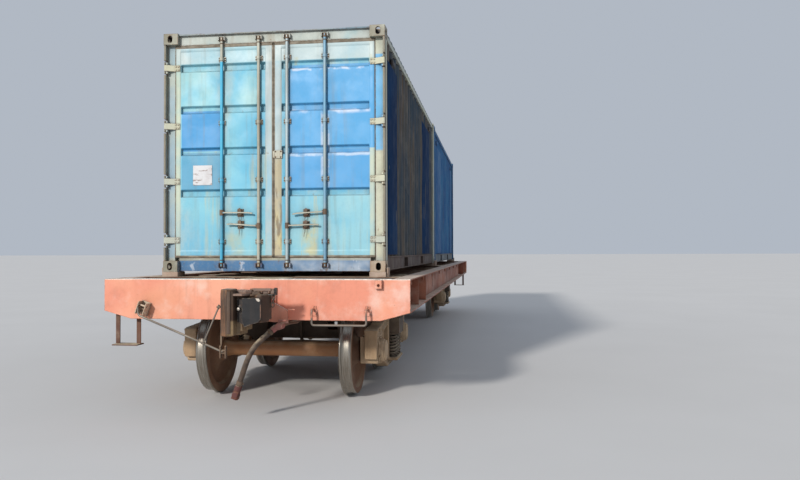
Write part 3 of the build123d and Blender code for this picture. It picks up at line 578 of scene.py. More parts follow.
def frame_patches(m):
    w = "front"
    Z = lambda *a, **k: m.zone(**row(w, *a, **k))
    blue = C(62, 112, 156)
    out = [(m.mul(Z(-1057, 1057, -20, 128, soft=0.006), m.rmp(m.noise(2.2, 5), 0.22, 0.46, 0.5, 1.0)), blue, 1.0),
           (m.mul(Z(-1057, 1057, 120, 160, soft=0.006), m.rmp(m.noise(5, 5), 0.3, 0.6, 0.4, 1.0)), C(144, 146, 132), 0.9),
           (m.mul(Z(120, 1060, -20, 128, soft=0.05), m.rmp(m.noise(2.6, 4), 0.28, 0.6)), C(178, 190, 202), 0.85),
           (m.mul(Z(-1060, 1060, -20, 128, soft=0.01), m.rmp(m.noise(1.0, 6, 0.65, m.mapped(9, 9, 7.0)), 0.6, 0.68)), C(196, 204, 214), 0.6),
           (m.mul(Z(-1060, 1060, -20, 128, soft=0.01), m.rmp(m.noise(1.0, 6, 0.68, m.mapped(11, 11, 9.0, (4, 1, 2))), 0.6, 0.66)), C(92, 66, 48), 0.75),
           (Z(-1060, 1060, 2462, 2600, soft=0.006), C(176, 186, 186), 0.6),
           (m.mul(Z(-1060, 1060, 2440, 2600, soft=0.01), m.rmp(m.noise(1.7, 4), 0.46, 0.66)), C(140, 182, 190), 0.7),
           (Z(1108, 1192, 1280, 2300, soft=0.008), C(90, 178, 230), 0.9),
           (m.mul(Z(1108, 1192, 150, 1280, soft=0.03), m.rmp(m.noise(2, 4), 0.3, 0.6, 0.5, 1.0)), C(206, 206, 182), 0.9),
           (m.mul(Z(-1192, -1108, 150, 2460, soft=0.02), m.rmp(m.noise(2, 4), 0.3, 0.6, 0.4, 1.0)), C(140, 172, 190), 0.85)]
    for a in (-1, 1):
        side = lambda p, q: (min(a * p, a * q), max(a * p, a * q))
        # outer lip of the posts in a darker dull olive: partly ochre rust, partly painted shade
        out.append((Z(*side(1196, 1230), 118, 2473, soft=0.004), C(112, 106, 88), 0.8))
        for z0, z1 in ((-8, 118), (2473, 2600)):
            # the castings keep an older, darker coat; inside their holes black is painted as painted shade
            near = dict(row(w, *side(1057, 1230), z0, z1, soft=0.003), y=(None, -5.919))
            out.append((m.mul(m.zone(**near), m.rmp(m.noise(7, 5), 0.3, 0.6, 0.55, 1.0)), C(164, 134, 106) if a == 1 and z0 < 0 else C(128, 122, 104), 0.9))
            out.append((m.zone(**dict(row(w, *side(1072, 1198), max(z0, 0) + 11, z1 - (11 if z0 < 0 else 20), soft=0.004), y=(-6.100 + 0.012, -5.930))), C(14, 12, 11), 1.0))
    return out


M["frame_front"] = weathered("beige_box_frame_with_painted_shade", BEIGE, YELLOW, rust=0.42, edge=1.0, streak=0.35, dust=0.25, mottle=0.4, rough=0.6, edge_r=0.01,
                             patches=frame_patches, streak_col=C(120, 92, 60))
# the near box's walls and marking panels are coloured far darker than their paint: painted shade of the side turned
# from the light, over dust and rust
M["wall_front"] = weathered("dusty_side_wall_with_painted_shade", C(56, 72, 86), C(76, 80, 82), gloss=0.2, rust=0.5, edge=0.5, streak=0.85, dust=0.3, mottle=0.5, rough=0.8,
                            streak_col=C(112, 88, 64), edge_r=0.012,
                            patches=lambda m: [(m.mul(m.rmp(m.noise(1.0, 5, 0.6, m.mapped(5, 5, 0.35)), 0.42, 0.62)), C(104, 92, 80), 0.7)])
M["panel_front"] = weathered("blue_marking_panel_with_painted_shade", C(8, 44, 82), C(18, 56, 96), rust=0.22, edge=0.6, streak=0.3, dust=0.03, rough=0.85, gloss=0.1, grime_and_shade=C(24, 34, 44))
M["box_rear"] = weathered("blue_rear_box", C(34, 92, 144), C(50, 112, 158), gloss=0.25, rust=0.2, edge=0.7, streak=0.4, dust=0.15, mottle=0.3, rough=0.7, streak_col=C(80, 74, 62))
M["rear_rail"] = weathered("grey_rear_rail", C(84, 96, 104), C(104, 112, 116), rust=0.4, edge=0.9, streak=0.3, dust=0.3, rough=0.6)
M["roof"] = weathered("weathered_roof", C(108, 134, 150), C(150, 158, 156), rust=0.45, edge=0.6, streak=0.0, dust=0.5, rough=0.65)
M["base"] = weathered("brown_box_base", C(82, 68, 64), C(100, 84, 78), rust=0.55, edge=0.6, streak=0.2, dust=0.35, rough=0.75)
# the pale band over the beam's top 8 mm is a painted highlight of its bright top edge
M["salmon"] = weathered("salmon_beam_paint_with_painted_highlight", C(220, 138, 112), C(232, 164, 134), rust=0.3, edge=0.8, streak=0.2, dust=1.0, mottle=0.3, rough=0.6, edge_r=0.012,
                        dust_col=C(236, 230, 220), streak_col=C(120, 66, 48), grime_and_shade=C(92, 48, 38),
                        patches=lambda m: [(m.mul(m.zone(z=(1.3185, None), soft=0.0015), m.rmp(m.noise(3.5, 5), 0.25, 0.5, 0.6, 1.0)), C(246, 238, 226), 0.95),
                                           (m.mul(m.zone(x=(-1.16, -0.72), z=(0.90, 1.20), soft=0.09), m.rmp(m.noise(2.4, 5), 0.3, 0.6, 0.4, 1.0)), C(212, 136, 98), 0.6)])
M["sill"] = weathered("brown_sill_paint", C(150, 88, 64), C(172, 110, 84), rust=0.45, edge=0.8, streak=0.45, dust=0.8, mottle=0.45, rough=0.65,
                      dust_col=C(222, 212, 196), streak_col=C(92, 58, 40), grime_and_shade=C(66, 42, 32))
M["under"] = weathered("dirty_underframe_paint", C(88, 58, 46), C(108, 76, 60), rust=0.5, edge=0.6, streak=0.3, dust=0.9, mottle=0.5, rough=0.75)
M["cast"] = weathered("dusty_casting", C(84, 72, 62), C(112, 96, 80), rust=0.4, edge=0.5, streak=0.3, dust=0.6, mottle=0.5, rough=0.75, bump=0.7)
M["axlebox"] = weathered("tan_dusty_axlebox", C(192, 164, 132), C(208, 182, 150), rust=0.35, edge=0.5, streak=0.3, dust=0.6, mottle=0.4, rough=0.8, bump=0.6)
# the coupler casting is coloured darker than its steel: painted shade; the tan patch under the head stands for sunlight
# there: painted light
M["coupler"] = weathered("worn_coupler_casting_with_painted_light_and_shade", C(66, 46, 34), C(90, 68, 50), rust=0.5, edge=1.0, streak=0.5, dust=0.2, mottle=0.5, rough=0.55, bump=0.8,
                         rust_col=C(150, 108, 74), edge_r=0.02, metal=0.15,
                         patches=lambda m: [(m.mul(m.zone(x=(None, -0.02), soft=0.01), m.rmp(m.noise(1.0, 5, 0.62, m.mapped(26, 26, 2.2)), 0.46, 0.6)), C(142, 98, 64), 0.7),
                                            (m.mul(m.zone(x=(-0.03, 0.12), z=(None, 0.972), soft=0.012), m.rmp(m.noise(9, 4), 0.3, 0.6, 0.5, 1.0)), C(158, 132, 96), 0.85)])
M["coupler_top"] = weathered("rubbed_coupler_top", C(124, 102, 90), C(158, 132, 118), rust=0.4, edge=1.0, streak=0.3, dust=0.25, mottle=0.5, rough=0.5, bump=0.6, edge_r=0.012, metal=0.1)
M["guard_rib"] = weathered("worn_guard_rib", C(78, 60, 48), C(104, 84, 70), rust=0.5, edge=0.7, streak=0.5, dust=0.2, mottle=0.5, rough=0.6, bump=0.7, rust_col=C(140, 92, 60))
# the lock plate is coloured darker than its steel: painted shade
M["lock"] = weathered("dark_lock_plate_with_painted_shade", C(13, 14, 18), C(25, 26, 31), rust=0.3, edge=0.9, streak=0.3, dust=0.1, mottle=0.5, rough=0.45, bump=0.7,
                      rust_col=C(150, 136, 118), edge_r=0.012, metal=0.2)
M["bright"] = weathered("rubbed_bright_steel", C(190, 180, 168), C(214, 206, 196), rust=0.3, edge=0.0, streak=0.0, dust=0.1, mottle=0.4, rough=0.35, bump=0.5, metal=0.6)
M["bracket"] = weathered("pale_lever_bracket", C(190, 166, 140), C(206, 184, 160), rust=0.5, edge=1.0, streak=0.3, dust=0.3, mottle=0.4, rough=0.6, rust_col=C(128, 66, 42), edge_r=0.006)
M["fork"] = weathered("dusty_fork", C(96, 76, 60), C(124, 102, 82), rust=0.5, edge=0.6, streak=0.0, dust=0.5, rough=0.7)
M["pads"] = weathered("dusty_box_pads", C(168, 144, 126), C(190, 172, 154), rust=0.35, edge=0.6, streak=0.3, dust=0.9, mottle=0.4, rough=0.7, dust_col=C(226, 218, 206))
M["frames"] = weathered("tan_side_frame", C(158, 130, 100), C(180, 152, 120), rust=0.35, edge=0.5, streak=0.3, dust=0.7, mottle=0.5, rough=0.8, bump=0.7)
M["rod"] = weathered("scratched_rod", C(100, 94, 88), C(132, 124, 114), rust=0.5, edge=0.5, streak=0.0, dust=0.4, rough=0.5, bump=0.3, metal=0.4)
M["handle"] = weathered("painted_handle_rod", C(104, 96, 88), C(134, 122, 112), rust=0.5, edge=0.5, streak=0.0, dust=0.3, rough=0.5, bump=0.3, metal=0.3,
                        patches=lambda m: [(m.zone(y=(-6.7125, 6.7125), soft=0.001), C(226, 146, 118), 1.0),
                                           (m.mul(m.zone(z=(0.96, None), soft=0.01), m.rmp(m.noise(8, 4), 0.35, 0.6)), C(206, 134, 108), 0.7)])
M["spring"] = weathered("spring_steel", C(76, 66, 58), C(104, 88, 72), rust=0.5, edge=0.0, streak=0.0, dust=0.7, rough=0.7, bump=0.5)
M["disc"] = weathered("rusty_wheel_disc", C(112, 78, 56), C(134, 98, 72), rust=0.4, edge=0.4, streak=0.0, dust=0.4, rough=0.7, bump=0.6)
M["axle"] = weathered("brown_axle", C(150, 100, 62), C(168, 122, 82), rust=0.4, edge=0.3, streak=0.0, dust=0.4, rough=0.6, bump=0.4)
M["valve"] = weathered("dull_red_valve", C(142, 74, 70), C(160, 94, 86), rust=0.3, edge=0.9, streak=0.0, dust=0.5, rough=0.6)
# the hose coupling head is coloured darker than its paint: painted shade
M["hose_head"] = weathered("dull_hose_coupling_with_painted_shade", C(84, 44, 40), C(102, 60, 54), rust=0.35, edge=0.9, streak=0.0, dust=0.35, rough=0.65)
M["pipe"] = weathered("dirty_pipe", C(112, 78, 60), C(132, 96, 76), rust=0.5, edge=0.3, streak=0.0, dust=0.5, rough=0.7)
M["gear"] = weathered("dark_equipment_paint", C(78, 74, 70), C(100, 92, 84), rust=0.35, edge=0.6, streak=0.3, dust=0.6, rough=0.65)
M["bar"] = weathered("galvanised_bar", C(166, 164, 148), C(182, 182, 168), rust=0.5, edge=0.3, streak=0.5, dust=0.1, mottle=0.35, rough=0.45, metal=0.15,
                     streak_col=C(120, 88, 60),
                     patches=lambda m: [(m.zone(**row("front", -600, -540, 0, 2270, soft=0.012)), C(62, 178, 216), 0.95),
                                        (m.mul(m.zone(**row("front", 130, 190, 0, 2600, soft=0.01)), m.rmp(m.noise(3, 4), 0.3, 0.55, 0.5, 1.0)), C(172, 190, 196), 0.9),
                                        (m.mul(m.zone(**row("front", 540, 600, 0, 2600, soft=0.01)), m.rmp(m.noise(2, 4), 0.3, 0.6, 0.35, 1.0)), C(102, 158, 190), 0.9)])
M["hardware"] = weathered("rusty_hardware", C(92, 74, 60), C(120, 100, 80), rust=0.5, edge=0.6, streak=0.0, dust=0.1, rough=0.7, bump=0.7, rust_col=C(140, 92, 56))
M["hinge"] = weathered("beige_hinge_paint", C(186, 190, 176), C(198, 196, 168), rust=0.5, edge=1.0, streak=0.3, dust=0.1, rough=0.6, edge_r=0.006)


def rubber(name, col, dusty):
    m = Mat(name)
    c = m.mix(m.rmp(m.noise(16, 5), 0.35, 0.7), col, dusty)
    c = m.mix(m.mul(m.upward(0.0, 0.9), m.rmp(m.noise(22, 4), 0.3, 0.6), 0.6), c, DUST)
    ribs = m.noise(1.0, 2, 0.5, m.mapped(160, 160, 160))
    return m.done(c, m.rmp(m.noise(9, 3), 0.3, 0.7, 0.6, 0.82), m.bump(ribs, 0.35, 0.001))


M["rubber"] = rubber("black_door_seal", C(34, 34, 36), C(66, 66, 64))
# the hose rubber is coloured darker than it is: painted shade, with dust
M["hose"] = rubber("dusty_hose_rubber_with_painted_shade", C(58, 45, 37), C(88, 71, 58))
M["seam"] = rubber("brown_door_seal", C(104, 94, 80), C(138, 128, 112))


def tread():
    m = Mat("polished_tread")
    turn_marks = m.noise(1.0, 3, 0.6, m.mapped(240, 5, 5))
    c = m.mix(m.rmp(turn_marks, 0.35, 0.68), C(170, 164, 154), C(126, 118, 106))
    c = m.mix(m.mul(m.rmp(m.noise(1.0, 4, 0.6, m.mapped(60, 4, 4)), 0.56, 0.7), 0.45), c, C(112, 84, 62))
    return m.done(c, m.rmp(turn_marks, 0.3, 0.7, 0.24, 0.36), m.bump(turn_marks, 0.1, 0.0006), 0.9)


M["tread"] = tread()


def wood():
    m = Mat("worn_plywood")
    g = m.noise(1.0, 5, 0.6, m.mapped(26, 1.6, 26))
    c = m.mix(m.rmp(g, 0.35, 0.7), C(150, 112, 76), C(108, 76, 50))
    c = m.mix(m.mul(m.rmp(m.noise(2.2, 5), 0.45, 0.7), 0.6), c, C(78, 62, 50))
    c = m.mix(m.mul(m.rmp(m.noise(1.0, 3, 0.6, m.mapped(40, 3, 40)), 0.6, 0.68), 0.7), c, C(176, 150, 116))
    return m.done(c, m.rmp(g, 0.3, 0.7, 0.6, 0.85), m.bump(g, 0.3, 0.002))


M["wood"] = wood()


def sticker():
    m = Mat("blank_weathered_label")
    c = m.mix(m.rmp(m.noise(5, 5), 0.42, 0.7), C(206, 206, 208), C(176, 168, 168))
    c = m.mix(m.mul(m.rmp(m.noise(1.0, 5, 0.7, m.mapped(9, 9, 30)), 0.55, 0.6), 0.8), c, C(128, 104, 96))
    return m.done(c, 0.45, m.bump(m.noise(24, 3), 0.2, 0.001))


M["label"] = sticker()

# ---------------------------------------------------------------- brake hoses: the free cords, first
# route of the front hose, in metres
HOSE = [(0.272, -6.960, 0.852), (0.160, -7.030, 0.752), (0.090, -7.060, 0.640), (0.040, -7.065, 0.505), (-0.014, -7.055, 0.350)]


def hose_parts(which, s):
    cu = bpy.data.curves.new(f"hose_{which}", "CURVE")
    cu.dimensions = "3D"
    sp = cu.splines.new("NURBS")
    sp.points.add(len(HOSE) - 1)
    for p, (x, y, z) in zip(sp.points, HOSE):
        p.co = (s * x, s * y, z, 1.0)
    sp.order_u = 3
    sp.use_endpoint_u = True
    cu.resolution_u = 14
    cu.bevel_depth = 0.026
    cu.bevel_resolution = 7
    cu.use_fill_caps = True
    cu.materials.append(M["hose"])
    ob = bpy.data.objects.new(f"hose_{which}", cu)
    scene.collection.objects.link(ob)
    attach(ob, "frame")
    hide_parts(f"brake_hose_{which}")
    # coupling head and the two clamps on the hose
    a, b = Vector(HOSE[-2]) * 1000, Vector(HOSE[-1]) * 1000
    d, u, w = across(b - a)
    # u lies across the head, w along its face
    u = Vector((0, 1, 0)) - d * d.y
    u.normalize()
    w = d.cross(u)
    h = Solid(IDENT if s == 1 else TURN)
    h.turn([(-4, 27), (0, 33), (44, 33), (70, 30)], b, d, 24)
    hd = Matrix((w, u, d)).transposed()
    h.obox(b + d * 90, (54, 66, 78), hd)
    h.turn([(-38, 24), (-33, 30), (33, 30), (38, 24)], b + d * 86, u, 24)
    h.obox(b + d * 106 + w * 12, (46, 46, 42), hd)
    h.turn([(0, 20), (7, 21), (9, 15)], b + d * 82 + u * 37, u, 18)
    h.obox(b + d * 106 + u * 42 - w * 4, (22, 20, 30), hd)
    head = piece(f"hose_head_{which}", h, "frame", M["hose_head"], bevel=3, seg=3, replaces=("hose_connectors",))
    c = Solid(IDENT if s == 1 else TURN)
    p0, p1 = Vector(HOSE[0]) * 1000, Vector(HOSE[1]) * 1000
    e = (p1 - p0).normalized()
    c.turn([(6, 28), (7, 32), (30, 32), (31, 28)], p0, e, 24)
    c.bolt(p0 + e * 18 + Vector((0, -33, 0)), (0, -1, 0), 6, 10)
    # band on the lower end of the rubber
    c.turn([(-46, 27), (-44, 30), (-14, 30), (-10, 27)], b, d, 24)
    c.bolt(b - d * 29 + w * 31, w, 6, 10)
    clamp = piece(f"hose_clamp_{which}", c, "frame", M["hardware"], bevel=1.5)


for which, s in (("front", 1), ("rear", -1)):
    hose_parts(which, s)

# ---------------------------------------------------------------- CAD nodes that keep their shape get softened edges and a finish
KEEP = {  # node: material, bevel in mm
    "centre_sill": ("under", 3), "side_sills": ("sill", 3), "end_beams": ("salmon", 3), "body_bolsters": ("under", 4),
    "cross_members": ("under", 3), "box_pads": ("pads", 4), "corner_steps": ("under", 2), "grab_handles": ("handle", 2),
    "draft_gear": ("coupler", 4), "brake_pipe": ("pipe", 0), "pipe_brackets": ("pipe", 1.5),
    "air_reservoir": ("gear", 0), "reservoir_straps": ("gear", 2), "brake_cylinder": ("gear", 4), "air_distributor": ("gear", 6),
    "brake_rods": ("rod", 2), "handbrake": ("gear", 2), "end_valves": ("valve", 3),
    "box_front_frame": ("frame_front", 3), "box_rear_frame": ("box_rear", 3), "box_front_base": ("base", 2), "box_rear_base": ("rear_rail", 2),
    "box_front_floor": ("wood", 0), "box_rear_floor": ("wood", 0),
}
for w in ("front", "rear"):
    KEEP[f"bogie_{w}_bolster"] = ("cast", 8)
    KEEP[f"bogie_{w}_brake_gear"] = ("cast", 3)
for n, (mat, bev) in KEEP.items():
    o = N[n]
    me = o.data
    me.materials.clear()
    me.materials.append(M[mat])
    for att in ("custom_normal", "sharp_edge"):
        if att in me.attributes:
            me.attributes.remove(me.attributes[att])
    me.polygons.foreach_set("use_smooth", [True] * len(me.polygons))
    k = o.modifiers.new("join", "WELD")
    k.merge_threshold = 0.00002
    if bev:
        soften(o, bev, 2, 32)
    else:
        e = o.modifiers.new("split", "EDGE_SPLIT")
        e.split_angle = math.radians(35)


# ---------------------------------------------------------------- box doors
GROOVE_Z = (849.0, 1304.0, 1760.0, 2216.0)
HINGE_Z = (343.0, 982.0, 1585.0, 2222.0)
BAR_X = (157.0, 570.0)


def leaf(T, seed):
    def depth(x, z):
        px = sm(x, 82, 89) * (1 - sm(x, 1047, 1054))
        pz = sm(z, 222, 229) * (1 - sm(z, 2398, 2405))
        ends = sm(x, 90, 97) * (1 - sm(x, 1037, 1044))
        g = max(1 - min(max((abs(z - c) - 24) / 23, 0), 1) for c in GROOVE_Z)
        g = g * g * (3 - 2 * g) * 0.5 + g * 0.5
        d = 4 * px * pz + 30 * g * ends
        d += px * pz * (1 - g) * (noise.noise(Vector((x * 0.0035, z * 0.003, seed))) * 2.6 + noise.noise(Vector((x * 0.011, z * 0.009, seed + 5))) * 1.0)
        edge = 2.6 * max(1 - sm(x, 6, 10), sm(x, 1096, 1100), 1 - sm(z, 158, 162), sm(z, 2458, 2462))
        return d + edge
    xs = [6, 8, 10, 30, 60, 80, 83, 86, 89, 91, 93, 95, 97, 100, 110] + [130 + 44.5 * k for k in range(20)] + [1000, 1024, 1034, 1037, 1039, 1041, 1043, 1046, 1049, 1052, 1056, 1080, 1096, 1098, 1100]
    zs = [158, 160, 162, 190, 218, 222, 225, 229, 240, 300, 360, 420, 480, 540, 600, 660, 720, 770]
    for g in GROOVE_Z:
        zs += [g + k for k in (-56, -50, -47, -43, -39, -35, -31, -27, -24, -19, 0, 19, 24, 27, 31, 35, 39, 43, 47, 50, 56)]
        zs += [g + k for k in (90, 140, 195, 250, 310, 365)] if g < 2200 else [g + 90, g + 130, g + 165]
    zs += [2390, 2398, 2401, 2405, 2430, 2456, 2459, 2462]
    zs = sorted(set(zs))
    nx, nz = len(xs), len(zs)
    s = Solid(T)
    front = [(x, 52 + depth(x, z), z) for z in zs for x in xs]
    back = []
    for z in zs:
        for x in xs:
            px = sm(x, 60, 70) * (1 - sm(x, 1070, 1080))
            pz = sm(z, 215, 225) * (1 - sm(z, 2398, 2408))
            edge = 2 * max(1 - sm(x, 6, 9), sm(x, 1097, 1100), 1 - sm(z, 158, 161), sm(z, 2459, 2462))
            back.append((x, 100 - 7 * px * pz - edge, z))
    n = nx * nz
    faces = []
    for j in range(nz - 1):
        for i in range(nx - 1):
            a = j * nx + i
            faces.append((a, a + 1, a + nx + 1, a + nx))
            faces.append((n + a, n + a + nx, n + a + nx + 1, n + a + 1))
    rim = [i for i in range(nx)] + [j * nx + nx - 1 for j in range(1, nz)] + [(nz - 1) * nx + i for i in range(nx - 2, -1, -1)] + [j * nx for j in range(nz - 2, 0, -1)]
    for a, b in zip(rim, rim[1:] + rim[:1]):
        faces.append((a, b, n + b, n + a))
    s.add(front + back, faces)
    return s


def leaf_fittings(T):
    """Hinge blades with their bolts, and the rubber seal round the leaf."""
    s = Solid(T)
    for h in HINGE_Z:
        s.prism([(1052, 53), (1052, 44), (1114, 44), (1194, 5), (1206, 4), (1206, 20), (1120, 53)], "z", h - 33, h + 33)
        s.cyl((1208, 12, h - 33), (1208, 12, h + 33), 8.6, n=18)
        for x, dz in ((1068, 18), (1068, -18), (1098, 18), (1098, -18)):
            s.bolt((x, 44, h + dz), (0, -1, 0), 8, 7)
    g = Solid(T)
    for x0, x1, z0, z1 in ((0.8, 6.4, 160, 2460), (1099.6, 1106, 160, 2460), (4, 1102, 152.5, 158.6), (4, 1102, 2461.4, 2467)):
        g.box(x0, x1, 57, 97, z0, z1)
        g.box(x0 + (0.6 if x1 - x0 < 10 else 0), x1 - (0.6 if x1 - x0 < 10 else 0), 53.5, 57.5, z0 + 0.4, z1 - 0.4)
    # the lips that lap over the leaf edges at the seam
    g.prism([(1.2, 60), (1.2, 52), (3.5, 49.5), (15, 49.5), (18, 53), (18, 57)], "z", 160, 2460)
    for z0, z1 in ((2434, 2466), (154, 178)):
        g.prism([(49.5, z0 + 3), (49.5, z1 - 3), (53, z1), (57, z1), (57, z0), (53, z0)], "x", 4, 1102)
    return s, g


HANDLES = ((1, 638, -1, -3.0), (0, 494, 1, 2.0))


def locks(T, tilt, plate):
    bars, hard = Solid(T), Solid(T)
    for i, bx in enumerate(BAR_X):
        bars.tube([(bx + noise.noise(Vector((bx, z * 0.002, 3.3))) * 1.6, 30, z) for z in (62, 80, 325, 640, 990, 1300, 1610, 1950, 2300, 2510, 2530)], 16.6, 22)
        for z, d in ((70, 1), (2522, -1)):
            # the cam: hooked nose over the keeper, collar behind it
            hard.prism([(bx - 19, 47), (bx - 19, 22), (bx - 12, 14), (bx + 8, 14), (bx + 19, 24), (bx + 19, 34), (bx + 9, 36), (bx + 9, 47)], "z", z - 15, z + 15)
            hard.cyl((bx, 30, z + d * 15), (bx, 30, z + d * 30), 21, 19, 20)
            hard.cyl((bx, 30, z + d * 52), (bx, 30, z + d * 60), 21, n=20)
        for z in (325, 990, 1610, 2300):
            bars.box(bx - 40, bx + 40, 45, 53, z - 26, z + 26)
            bars.cyl((bx, 30, z - 17), (bx, 30, z + 17), 21.5, n=20)
            bars.box(bx - 26, bx + 26, 34, 46, z - 17, z + 17)
            for sx in (-1, 1):
                hard.bolt((bx + sx * 32, 45, z + 12), (0, -1, 0), 6, 6)
                hard.bolt((bx + sx * 32, 45, z - 12), (0, -1, 0), 6, 6)
        for b, z, turn, ang in HANDLES:
            if b != i:
                continue
            hard.cyl((bx, 30, z - 30), (bx, 30, z + 30), 22, n=20)
            hard.box(bx + turn * 10, bx + turn * 30, 12, 40, z - 15, z + 15)
            hard.cyl((bx + turn * 26, 8.5, z), (bx + turn * 26, 40, z), 7, n=12)
            t = math.radians(ang + tilt) * turn
            pts, zz = [], z
            for k in range(8):
                q = 20 + k * 47
                pts.append((bx + turn * q, 14 - 2.5 * math.sin(k * 0.6), z + math.tan(abs(t)) * (-1 if t * turn < 0 else 1) * (q - 20) - (7 if k == 7 else 0)))
            bars.tube(pts, 10.5, 10, flat=0.55)
            # the catch: back plate, hinged flap, and a seal of twisted wire
            cx = bx + turn * 205
            cz = z + math.tan(abs(t)) * (-1 if t * turn < 0 else 1) * 185
            hard.box(cx - 34, cx + 34, 45, 52.5, cz - 42, cz + 40)
            hard.box(cx - 20, cx + 20, 22, 46, cz - 27, cz - 13)
            hard.box(cx - 16, cx + 14, 20, 26, cz - 24, cz + 26)
            hard.obox((cx + 4, 22, cz + 33), (30, 6, 26), Matrix.Rotation(math.radians(24), 3, "Y"))
            hard.cyl((cx - 24, 34, cz + 20), (cx + 24, 34, cz + 20), 5, n=10)
            for dx, dz in ((-26, 30), (26, 30), (-26, -34), (26, -34)):
                hard.rivet((cx + dx, 45, cz + dz), (0, -1, 0), 6)
            rnd = random.Random(int(bx * 3 + z + tilt * 10))
            for k in range(3):
                p = Vector((cx + rnd.uniform(-8, 8), 19, cz + rnd.uniform(-14, 4)))
                wire = [p]
                drift = rnd.uniform(-5, 5)
                for _ in range(6):
                    p = p + Vector((drift + rnd.uniform(-5, 5), rnd.uniform(-1.5, 2.5), -rnd.uniform(12, 26) * (1.0 if k else 0.6)))
                    p.y = min(max(p.y, 6), 40)
                    wire.append(p)
                hard.tube(rounded(wire, 8, 2), 2.0, 5)
    if plate:
        bars.box(10, 100, 43, 53, 1215, 1300)
        bars.box(-4, 14, 40, 50, 1222, 1293)
        for x, z in ((26, 1228), (84, 1228), (26, 1287), (84, 1287)):
            hard.bolt((x, 43, z), (0, -1, 0), 6, 6)
    return bars, hard


for which in ("front", "rear"):
    T = box_at(which)
    for side, TT, seed in (("right", T, 1.3), ("left", T @ MIRROR, 7.9)):
        body = f"box_{which}_door_{side}"
        paint = M["door_front"] if which == "front" else M["box_rear"]
        piece(f"{which}_leaf_{side}", leaf(TT, seed + (20 if which == "rear" else 0)), body, paint, sharp=50, replaces=(f"box_{which}_door_{side}",))
        blades, seal = leaf_fittings(TT)
        piece(f"{which}_hinge_blades_{side}", blades, body, M["hinge"] if which == "front" else M["box_rear"], bevel=1.6)
        piece(f"{which}_door_seal_{side}", seal, body, M["seam"], bevel=1.5)
        bars, hard = locks(TT, 0.0 if side == "right" else 2.4, side == "right")
        piece(f"{which}_lock_bars_{side}", bars, body, M["bar"], bevel=1.6, replaces=(f"box_{which}_locks_{side}",))
        piece(f"{which}_lock_hardware_{side}", hard, body, M["hardware"], bevel=1.4)
# a blank label on the left leaf of the near box
s = Solid(box_at("front"))
rows_ = []
for j in range(7):
    rows_.append([(-902 + 214 * i / 8, 50.6 - 0.5 * math.sin(i * 1.3 + j) + noise.noise(Vector((i * 0.4, j * 0.4, 2))) * 0.8, 941 + 214 * j / 6) for i in range(9)])
nv = [p for r in rows_ for p in r]
fs = [(j * 9 + i, j * 9 + i + 1, j * 9 + i + 10, j * 9 + i + 9) for j in range(6) for i in range(8)]
back_ = [(p[0], p[1] + 3.2, p[2]) for p in nv]
border = list(range(9)) + [j * 9 + 8 for j in range(1, 7)] + [54 + i for i in range(7, -1, -1)] + [j * 9 for j in range(5, 0, -1)]
s.add(nv + back_, fs + [tuple(63 + i for i in reversed(f)) for f in fs] + [(a, b, b + 63, a + 63) for a, b in zip(border, border[1:] + border[:1])])
piece("front_blank_label", s, "box_front_door_left", M["label"], sharp=60)


# ---------------------------------------------------------------- box walls, roof, floor
def wave(start, stop, flat_out, slope, flat_in, depth):
    pts, s = [(start, 0)], start
    while s + 2 * flat_out + 2 * slope + flat_in <= stop:
        s += flat_out
        pts.append((s, 0))
        s += slope
        pts.append((s, depth))
        s += flat_in
        pts.append((s, depth))
        s += slope
        pts.append((s, 0))
    pts.append((stop, 0))
    return pts


def sheet_lines(pts, bend, thick, n=3):
    line = [Vector((p[0], p[1], 0)) for p in pts]
    out = rounded(line, bend, n)
    res_o, res_i = [], []
    for k, p in enumerate(out):
        a = out[max(k - 1, 0)]
        b = out[min(k + 1, len(out) - 1)]
        t = (b - a).normalized()
        nrm = Vector((-t.y, t.x, 0))
        res_o.append((p.x, p.y))
        res_i.append((p.x + nrm.x * thick, p.y + nrm.y * thick))
    return res_o, res_i


def wall(T, place, pts, bend, z0, z1, seed, dent):
    o, i = sheet_lines(pts, bend, 4.5)
    s = Solid(T)
    nz = 19
    rings = []
    for k in range(nz + 1):
        z = z0 + (z1 - z0) * k / nz
        calm = sm(z, z0, z0 + 260) * (1 - sm(z, z1 - 260, z1))
        r = []
        for q in (o, list(reversed(i))):
            for a, t in q:
                d = calm * dent * (noise.noise(Vector((a * 0.0016, z * 0.0016, seed))) + 0.5 * noise.noise(Vector((a * 0.006, z * 0.004, seed + 9))))
                r.append(place(a, t + max(d, -4), z))
        rings.append(r)
    s.loft(rings)
    return s


